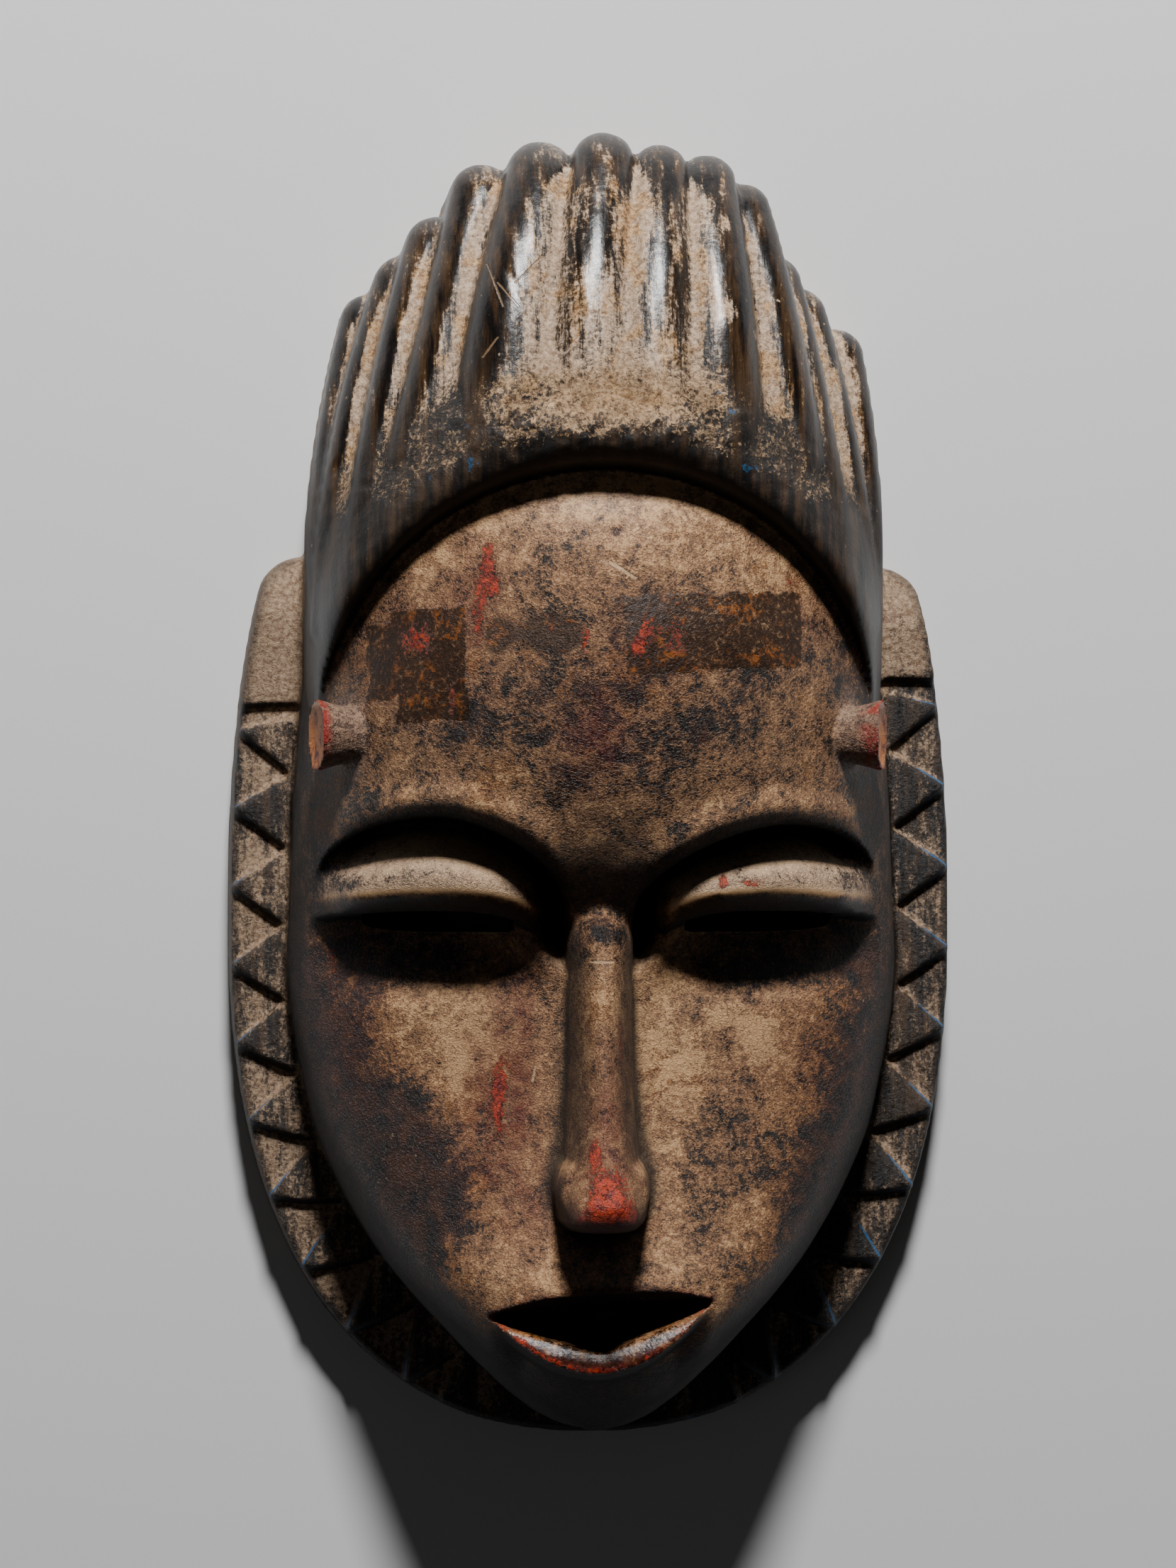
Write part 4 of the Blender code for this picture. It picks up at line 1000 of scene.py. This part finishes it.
def carve_mask():
    mask = new_object("carved_wooden_mask", carved_front)
    fuse = mask.modifiers.new("fuse", "REMESH")
    fuse.mode = "VOXEL"
    fuse.voxel_size = FUSE_STEP * 1
    soften = mask.modifiers.new("soften", "SMOOTH")
    soften.iterations = SOFTENING_PASSES
    cutters = [
        new_object("ground_cut", ground),
        new_object("hollow_cut", hollow),
        new_object("left_eye_cut", lambda shape: eye_slit(shape, -1)),
        new_object("right_eye_cut", lambda shape: eye_slit(shape, +1)),
    ]
    for tool in cutters:
        cut = mask.modifiers.new(tool.name, "BOOLEAN")
        cut.operation = "DIFFERENCE"
        cut.solver = "MANIFOLD"
        cut.object = tool
    graph = bpy.context.evaluated_depsgraph_get()
    faces = len(mask.evaluated_get(graph).data.loop_triangles)
    thin = mask.modifiers.new("thin", "DECIMATE")
    thin.ratio = min(1.0, FACETS / max(faces, 1))
    graph = bpy.context.evaluated_depsgraph_get()
    mesh = bpy.data.meshes.new_from_object(mask.evaluated_get(graph))
    mask.modifiers.clear()
    mask.data = mesh
    for tool in cutters:
        bpy.data.objects.remove(tool)
    return mask


def dress(mask):
    """Writes the surface marks on the mesh, smooths its shading and centres it over the frame's mask."""
    mesh = mask.data
    points = np.empty((len(mesh.vertices), 3), dtype=np.float32)
    normals = np.empty((len(mesh.vertices), 3), dtype=np.float32)
    mesh.vertices.foreach_get("co", points.ravel())
    mesh.vertices.foreach_get("normal", normals.ravel())
    for name, value in surface_marks(points.astype(float), normals.astype(float)).items():
        layer = mesh.attributes.new(name, "FLOAT", "POINT")
        layer.data.foreach_set("value", value.astype(np.float32))
    mesh.shade_smooth()
    mesh.set_sharp_from_angle(angle=SHARP_ANGLE)
    low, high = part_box("mask")
    shift = 0.5 * (low + high) - Vector(0.5 * (points.min(axis=0) + points.max(axis=0)).astype(float))
    shift.z = 0
    mesh.transform(Matrix.Translation(shift))
    return shift


class Shader:
    """Short ways to add nodes to one material."""

    def __init__(self, name):
        self.material = bpy.data.materials.new(name)
        self.material.use_nodes = True
        self.tree = self.material.node_tree
        self.principled = self.tree.nodes["Principled BSDF"]
        self.place = self.tree.nodes.new("ShaderNodeTexCoord").outputs["Object"]

    def feed(self, socket, value):
        if isinstance(value, bpy.types.NodeSocket):
            self.tree.links.new(value, socket)
        else:
            socket.default_value = value

    def surface(self, inputs):
        for name, value in inputs.items():
            self.feed(self.principled.inputs[name], value)

    def node(self, kind, inputs, **settings):
        """A new node with its settings made and its inputs fed, by their names or numbers."""
        made = self.tree.nodes.new("ShaderNode" + kind)
        for name, value in settings.items():
            setattr(made, name, value)
        for name, value in inputs.items():
            self.feed(made.inputs[name], value)
        return made

    def math(self, operation, a, b=0.0, clamp=False):
        return self.node("Math", {0: a, 1: b}, operation=operation, use_clamp=clamp).outputs[0]

    def add(self, *terms):
        total = terms[0]
        for term in terms[1:]:
            total = self.math("ADD", total, term)
        return total

    def times(self, a, b):
        return self.math("MULTIPLY", a, b)

    def weigh(self, *terms):
        """The sum of values, each given with its weight."""
        return self.add(*(self.times(value, weight) for value, weight in terms))

    def rest(self, share, whole=1.0):
        return self.math("SUBTRACT", whole, share)

    def most(self, a, b):
        return self.math("MAXIMUM", a, b)

    def step(self, low, high, value):
        inputs = {"Value": value, "From Min": low, "From Max": high}
        return self.node("MapRange", inputs, interpolation_type="SMOOTHSTEP").outputs["Result"]

    def mark(self, name):
        return self.node("Attribute", {}, attribute_name=name).outputs["Fac"]

    def mix(self, share, a, b):
        """Between two colours, each a socket or the eye's 0 to 255 values."""
        a, b = (colour(*c) if isinstance(c, tuple) else c for c in (a, b))
        return self.node("Mix", {0: share, 6: a, 7: b}, data_type="RGBA").outputs[2]

    def blend(self, share, a, b):
        return self.node("Mix", {0: share, 2: a, 3: b}).outputs[0]

    def noise(self, scale, detail, roughness, stretch=(1, 1, 1), turn=0.0, distortion=0.0):
        mapping = {"Vector": self.place, "Scale": stretch, "Rotation": (0, 0, turn)}
        vector = self.node("Mapping", mapping).outputs["Vector"]
        inputs = {"Vector": vector, "Scale": scale, "Detail": detail, "Roughness": roughness}
        return self.node("TexNoise", {**inputs, "Distortion": distortion}).outputs["Fac"]

    def cracks(self, scale, sway):
        """Distance from the edges of a net of cells, its lines swayed by noise."""
        warp = self.node("TexNoise", {"Vector": self.place, "Scale": WARP_SHARE * scale})
        shove = {0: warp.outputs["Color"], 1: (sway, sway, sway), 2: self.place}
        place = self.node("VectorMath", shove, operation="MULTIPLY_ADD").outputs[0]
        net = {"Vector": place, "Scale": scale}
        return self.node("TexVoronoi", net, feature="DISTANCE_TO_EDGE").outputs["Distance"]

    def patches(self, table, shift, edge, wobble):
        """1 inside any of the table's turned rectangles, 0 outside, their edges moved by a wobble."""
        covered = 0.0
        for x, y, length, breadth, turn in table:
            middle = (x + shift.x, y + shift.y, 0)
            inputs = {"Vector": self.place, "Location": middle, "Rotation": (0, 0, turn)}
            place = self.node("Mapping", inputs, vector_type="TEXTURE").outputs[0]
            parts = self.node("SeparateXYZ", {0: place}).outputs
            out = [
                self.math("SUBTRACT", self.math("ABSOLUTE", part), 0.5 * size)
                for part, size in zip(parts, (length, breadth))
            ]
            inside = self.step(edge, -edge, self.add(self.most(*out), wobble))
            covered = self.most(covered, inside)
        return covered

    def bump(self, height, distance, strength, normal=None):
        inputs = {"Height": height, "Distance": distance, "Strength": strength}
        if normal is not None:
            inputs["Normal"] = normal
        return self.node("Bump", inputs).outputs["Normal"]


def colour(red, green, blue):
    """A colour given by the eye's 0 to 255 values."""
    return tuple((c / 255) ** 2.2 for c in (red, green, blue)) + (1.0,)


def aged_wood(shift):
    """Dark stained wood under dust and worn paint, with painted light and shade. Shift is how far the mesh
    was moved in the plan.
    """
    s = Shader("aged_wood")
    hair_share, collar_share, shown = s.mark("hair"), s.mark("collar"), s.mark("shown")
    crusted = s.mark("crust")
    face_share = s.math("SUBTRACT", 1.0, s.math("ADD", hair_share, collar_share), clamp=True)

    clouds = s.noise(45, 5, 0.6)
    blotches = s.noise(170, 6, 0.7, distortion=0.5)
    speckle = s.noise(760, 5, 0.78, distortion=0.4)
    grit = s.noise(1900, 3, 0.75)
    strands = s.noise(330, 6, 0.72, stretch=(1.0, 0.09, 0.25), turn=0.04)
    plate_grain = s.noise(360, 5, 0.66, stretch=(1.0, 0.16, 0.5), turn=-0.1)
    net = s.step(0.15, 0.02, s.cracks(NET_SCALE, NET_SWAY))

    # How the dust lies: a pattern for each part, raised or lowered by the mark of dust and painted light and
    # shade
    face_pattern = s.weigh((clouds, 0.6), (blotches, 0.95), (speckle, 0.95), (grit, 0.35))
    lock_pattern = s.weigh((clouds, 0.2), (strands, 1.5), (speckle, 0.7), (grit, 0.2))
    band_pattern = s.weigh((clouds, 0.3), (blotches, 0.7), (speckle, 1.2), (grit, 0.4))
    hair_pattern = s.blend(crusted, lock_pattern, band_pattern)
    plate_pattern = s.weigh((clouds, 0.5), (plate_grain, 0.9), (speckle, 0.75), (grit, 0.45))
    pattern = s.blend(hair_share, face_pattern, hair_pattern)
    pattern = s.blend(collar_share, pattern, plate_pattern)
    level = s.math("SUBTRACT", s.add(pattern, s.times(s.mark("dust"), DUST_WEIGHT)), DUST_LEVEL)
    dusty = s.step(-0.11, 0.15, s.add(level, s.times(net, s.times(face_share, 0.08))))

    # The stained wood and the dust on it
    face_dark = s.mix(s.step(0.4, 0.62, blotches), (22, 15, 12), (64, 38, 25))
    hair_dark = s.mix(s.step(0.4, 0.66, strands), (18, 15, 14), (62, 46, 31))
    dark = s.mix(s.most(hair_share, collar_share), face_dark, hair_dark)
    warm = s.most(s.mark("warm"), s.step(0.54, 0.66, clouds))
    face_tan = s.mix(warm, (150, 110, 77), (142, 94, 54))
    face_tan = s.mix(s.step(0.42, 0.6, grit), s.mix(0.5, face_tan, face_dark), face_tan)
    face_tan = s.mix(s.step(0.1, 0.3, level), face_tan, (184, 144, 102))
    # Paler on what faces up and on the lids: partly pale dust, partly painted light
    face_tan = s.mix(s.times(s.mark("pale"), 0.6), face_tan, (190, 166, 140))
    grey_tan = s.mix(s.step(0.36, 0.64, speckle), (118, 95, 74), (172, 149, 126))
    golden_tan = s.mix(s.step(0.4, 0.62, speckle), (112, 82, 52), (172, 138, 100))
    golden = s.most(s.times(crusted, 0.75), s.step(0.5, 0.6, s.noise(90, 4, 0.6)))
    hair_tan = s.mix(golden, grey_tan, golden_tan)
    plate_tan = s.mix(s.step(0.36, 0.64, speckle), (98, 74, 54), (152, 128, 104))
    tan = s.mix(collar_share, s.mix(hair_share, face_tan, hair_tan), plate_tan)
    base = s.mix(dusty, dark, tan)
    base = s.mix(s.times(s.mark("wear"), 0.5), base, (28, 21, 17))
    pits = s.step(0.36, 0.28, s.noise(620, 4, 0.82))
    base = s.mix(s.times(pits, 0.85), base, (14, 10, 8))
    flakes = s.step(0.66, 0.74, s.noise(330, 4, 0.8))
    base = s.mix(s.times(flakes, 0.55), base, (208, 176, 138))

    # Worn paint
    smear = s.noise(260, 5, 0.75, stretch=(1.0, 0.4, 0.6))
    flecks = s.noise(460, 4, 0.8)
    tint = s.times(s.mark("tint"), s.step(0.36, 0.6, s.weigh((smear, 0.5), (speckle, 0.5))))
    base = s.mix(s.times(tint, 0.8), base, s.mix(speckle, (44, 12, 10), (112, 36, 24)))
    chips = s.weigh((smear, 0.45), (speckle, 1.25))
    red_here = s.step(1.38, 1.5, s.add(s.mark("red"), chips))
    red_paint = s.mix(s.step(0.4, 0.6, flecks), (88, 18, 10), (170, 54, 28))
    base = s.mix(s.times(red_here, 0.9), base, red_paint)
    blue_here = s.step(1.02, 1.14, s.add(s.mark("blue"), s.times(flecks, 0.85)))
    base = s.mix(s.times(blue_here, 0.85), base, (34, 78, 112))
    ochre_here = s.step(1.02, 1.14, s.add(s.mark("ochre"), s.times(flecks, 0.72)))
    base = s.mix(s.times(ochre_here, 0.75), base, (158, 98, 38))

    # Tape, the stain of old glue, and the scratches
    wobble = s.times(s.math("SUBTRACT", s.noise(180, 5, 0.72), 0.5), TAPE_WOBBLE)
    tape = s.times(s.patches(TAPE_MARKS, shift, TAPE_EDGE, wobble), face_share)
    stain = s.step(0.9, 1.02, s.add(s.mark("stain"), s.times(blotches, 0.5), s.times(speckle, 0.4)))
    film = s.times(tape, s.rest(s.times(s.step(0.52, 0.64, speckle), 0.4), 0.96))
    glue = s.most(film, s.times(stain, 0.85))
    glue = s.times(glue, s.rest(s.times(red_here, 0.85)))
    amber_here = s.times(s.step(0.5, 0.62, s.noise(300, 5, 0.8)), s.step(0.48, 0.58, s.noise(95, 3, 0.6)))
    amber = s.mix(amber_here, s.mix(smear, (12, 9, 7), (54, 34, 18)), (118, 66, 22))
    base = s.mix(glue, base, amber)
    nick = s.patches(NICKS, shift, NICK_EDGE, s.times(wobble, NICK_WOBBLE))
    scraped = s.mix(hair_share, (180, 150, 116), (112, 88, 64))
    base = s.mix(s.times(nick, 0.75), base, scraped)

    # Pegs, painted shade in steep and hidden places, and the raw wood behind
    peg_tan = s.mix(s.step(0.38, 0.62, speckle), (66, 45, 36), (136, 108, 88))
    base = s.mix(s.times(s.mark("peg"), 0.75), base, peg_tan)
    base = s.mix(s.times(s.mark("peg_red"), s.step(0.4, 0.54, blotches)), base, (128, 24, 12))
    peg_ochre = s.mix(s.step(0.46, 0.6, blotches), (196, 112, 30), (96, 30, 12))
    base = s.mix(s.mark("peg_end"), base, peg_ochre)
    # Painted shade: deep, steep and down-facing places mixed towards near black
    base = s.mix(s.times(s.mark("shade"), 0.86), base, (13, 9, 7))
    raw = s.mix(s.noise(60, 5, 0.6, stretch=(1, 0.15, 1)), (52, 37, 27), (104, 78, 55))
    raw_grain = s.noise(420, 4, 0.7, stretch=(1, 0.2, 1))
    raw = s.mix(s.step(0.42, 0.6, raw_grain), raw, (78, 58, 42))
    base = s.mix(shown, raw, base)

    gloss = s.mark("gloss")
    rough = s.blend(dusty, s.add(0.3, s.times(speckle, 0.22)), s.add(0.44, s.times(grit, 0.24)))
    rough = s.blend(glue, rough, 0.42)
    rough = s.blend(gloss, rough, s.add(0.18, s.times(speckle, 0.18)))
    rough = s.blend(s.times(crusted, 0.8), rough, 0.58)
    rough = s.blend(s.times(s.mark("shade"), 0.8), rough, 0.85)
    rough = s.blend(shown, 0.8, rough)

    # Relief too fine for the mesh, less of it where the wood is polished or taped
    matt = s.rest(s.most(gloss, s.times(tape, 0.7)))
    rugged = s.times(matt, 0.7)
    grain = s.blend(hair_share, speckle, s.weigh((strands, 0.8), (speckle, 0.5)))
    normal = s.bump(s.noise(150, 3, 0.5), 0.0004, 0.5)
    normal = s.bump(grain, 0.0007, s.add(0.2, rugged), normal)
    normal = s.bump(net, 0.00016, s.times(face_share, matt), normal)
    normal = s.bump(grit, 0.0003, s.times(matt, s.add(0.25, s.times(dusty, 0.6))), normal)
    normal = s.bump(s.noise(380, 6, 0.8), 0.0028, s.times(crusted, s.add(0.25, rugged)), normal)
    normal = s.bump(s.weigh((tape, 0.4), (red_here, 0.5), (nick, -1.5)), 0.0003, 0.6, normal)
    s.surface({"Base Color": base, "Roughness": rough, "IOR": WAX_IOR, "Normal": normal})
    return s.material


def pale_floor():
    s = Shader("pale_floor")
    s.surface({"Base Color": (FLOOR_GREY, FLOOR_GREY, FLOOR_GREY, 1), "Roughness": 0.9})
    return s.material


def set_floor():
    bpy.ops.mesh.primitive_plane_add(size=FLOOR_SIZE)
    floor = bpy.context.active_object
    floor.name = "floor"
    floor.location.z = cad_box[0][2] - FLOOR_GAP
    floor.data.materials.append(pale_floor())


def area_light(name, place, size, power):
    lamp = bpy.data.lights.new(name, "AREA")
    lamp.shape = "DISK"
    lamp.size = size
    lamp.energy = power
    made = bpy.data.objects.new(name, lamp)
    made.location = place
    made.rotation_euler = Vector(place).to_track_quat("Z", "Y").to_euler()
    bpy.context.scene.collection.objects.link(made)


def set_light():
    away, up = math.cos(LIGHT_ELEVATION), math.sin(LIGHT_ELEVATION)
    area_light("key", (LIGHT_X, LIGHT_DISTANCE * away, LIGHT_DISTANCE * up), LIGHT_SIZE, LIGHT_POWER)
    area_light("fill", FILL_PLACE, FILL_SIZE, FILL_POWER)
    world = bpy.data.worlds.new("studio")
    world.use_nodes = True
    world.node_tree.nodes["Background"].inputs["Color"].default_value = (1, 1, 1, 1)
    world.node_tree.nodes["Background"].inputs["Strength"].default_value = SKY
    bpy.context.scene.world = world


def set_camera():
    camera = bpy.data.cameras.new("camera")
    camera.sensor_fit = "VERTICAL"
    camera.sensor_height = CAMERA_SENSOR
    camera.lens = CAMERA_LENS
    made = bpy.data.objects.new("camera", camera)
    away = Vector((-math.sin(CAMERA_YAW), 0, math.cos(CAMERA_YAW)))
    made.location = Vector((0, CAMERA_AIM_Y, 0)) + CAMERA_HEIGHT * away
    made.rotation_euler = (0, -CAMERA_YAW, 0)
    bpy.context.scene.collection.objects.link(made)
    bpy.context.scene.camera = made


set_camera()
set_light()
set_floor()
mask = carve_mask()
moved = dress(mask)
mask.data.materials.clear()
mask.data.materials.append(aged_wood(moved))
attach(mask, "root")
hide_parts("mask")
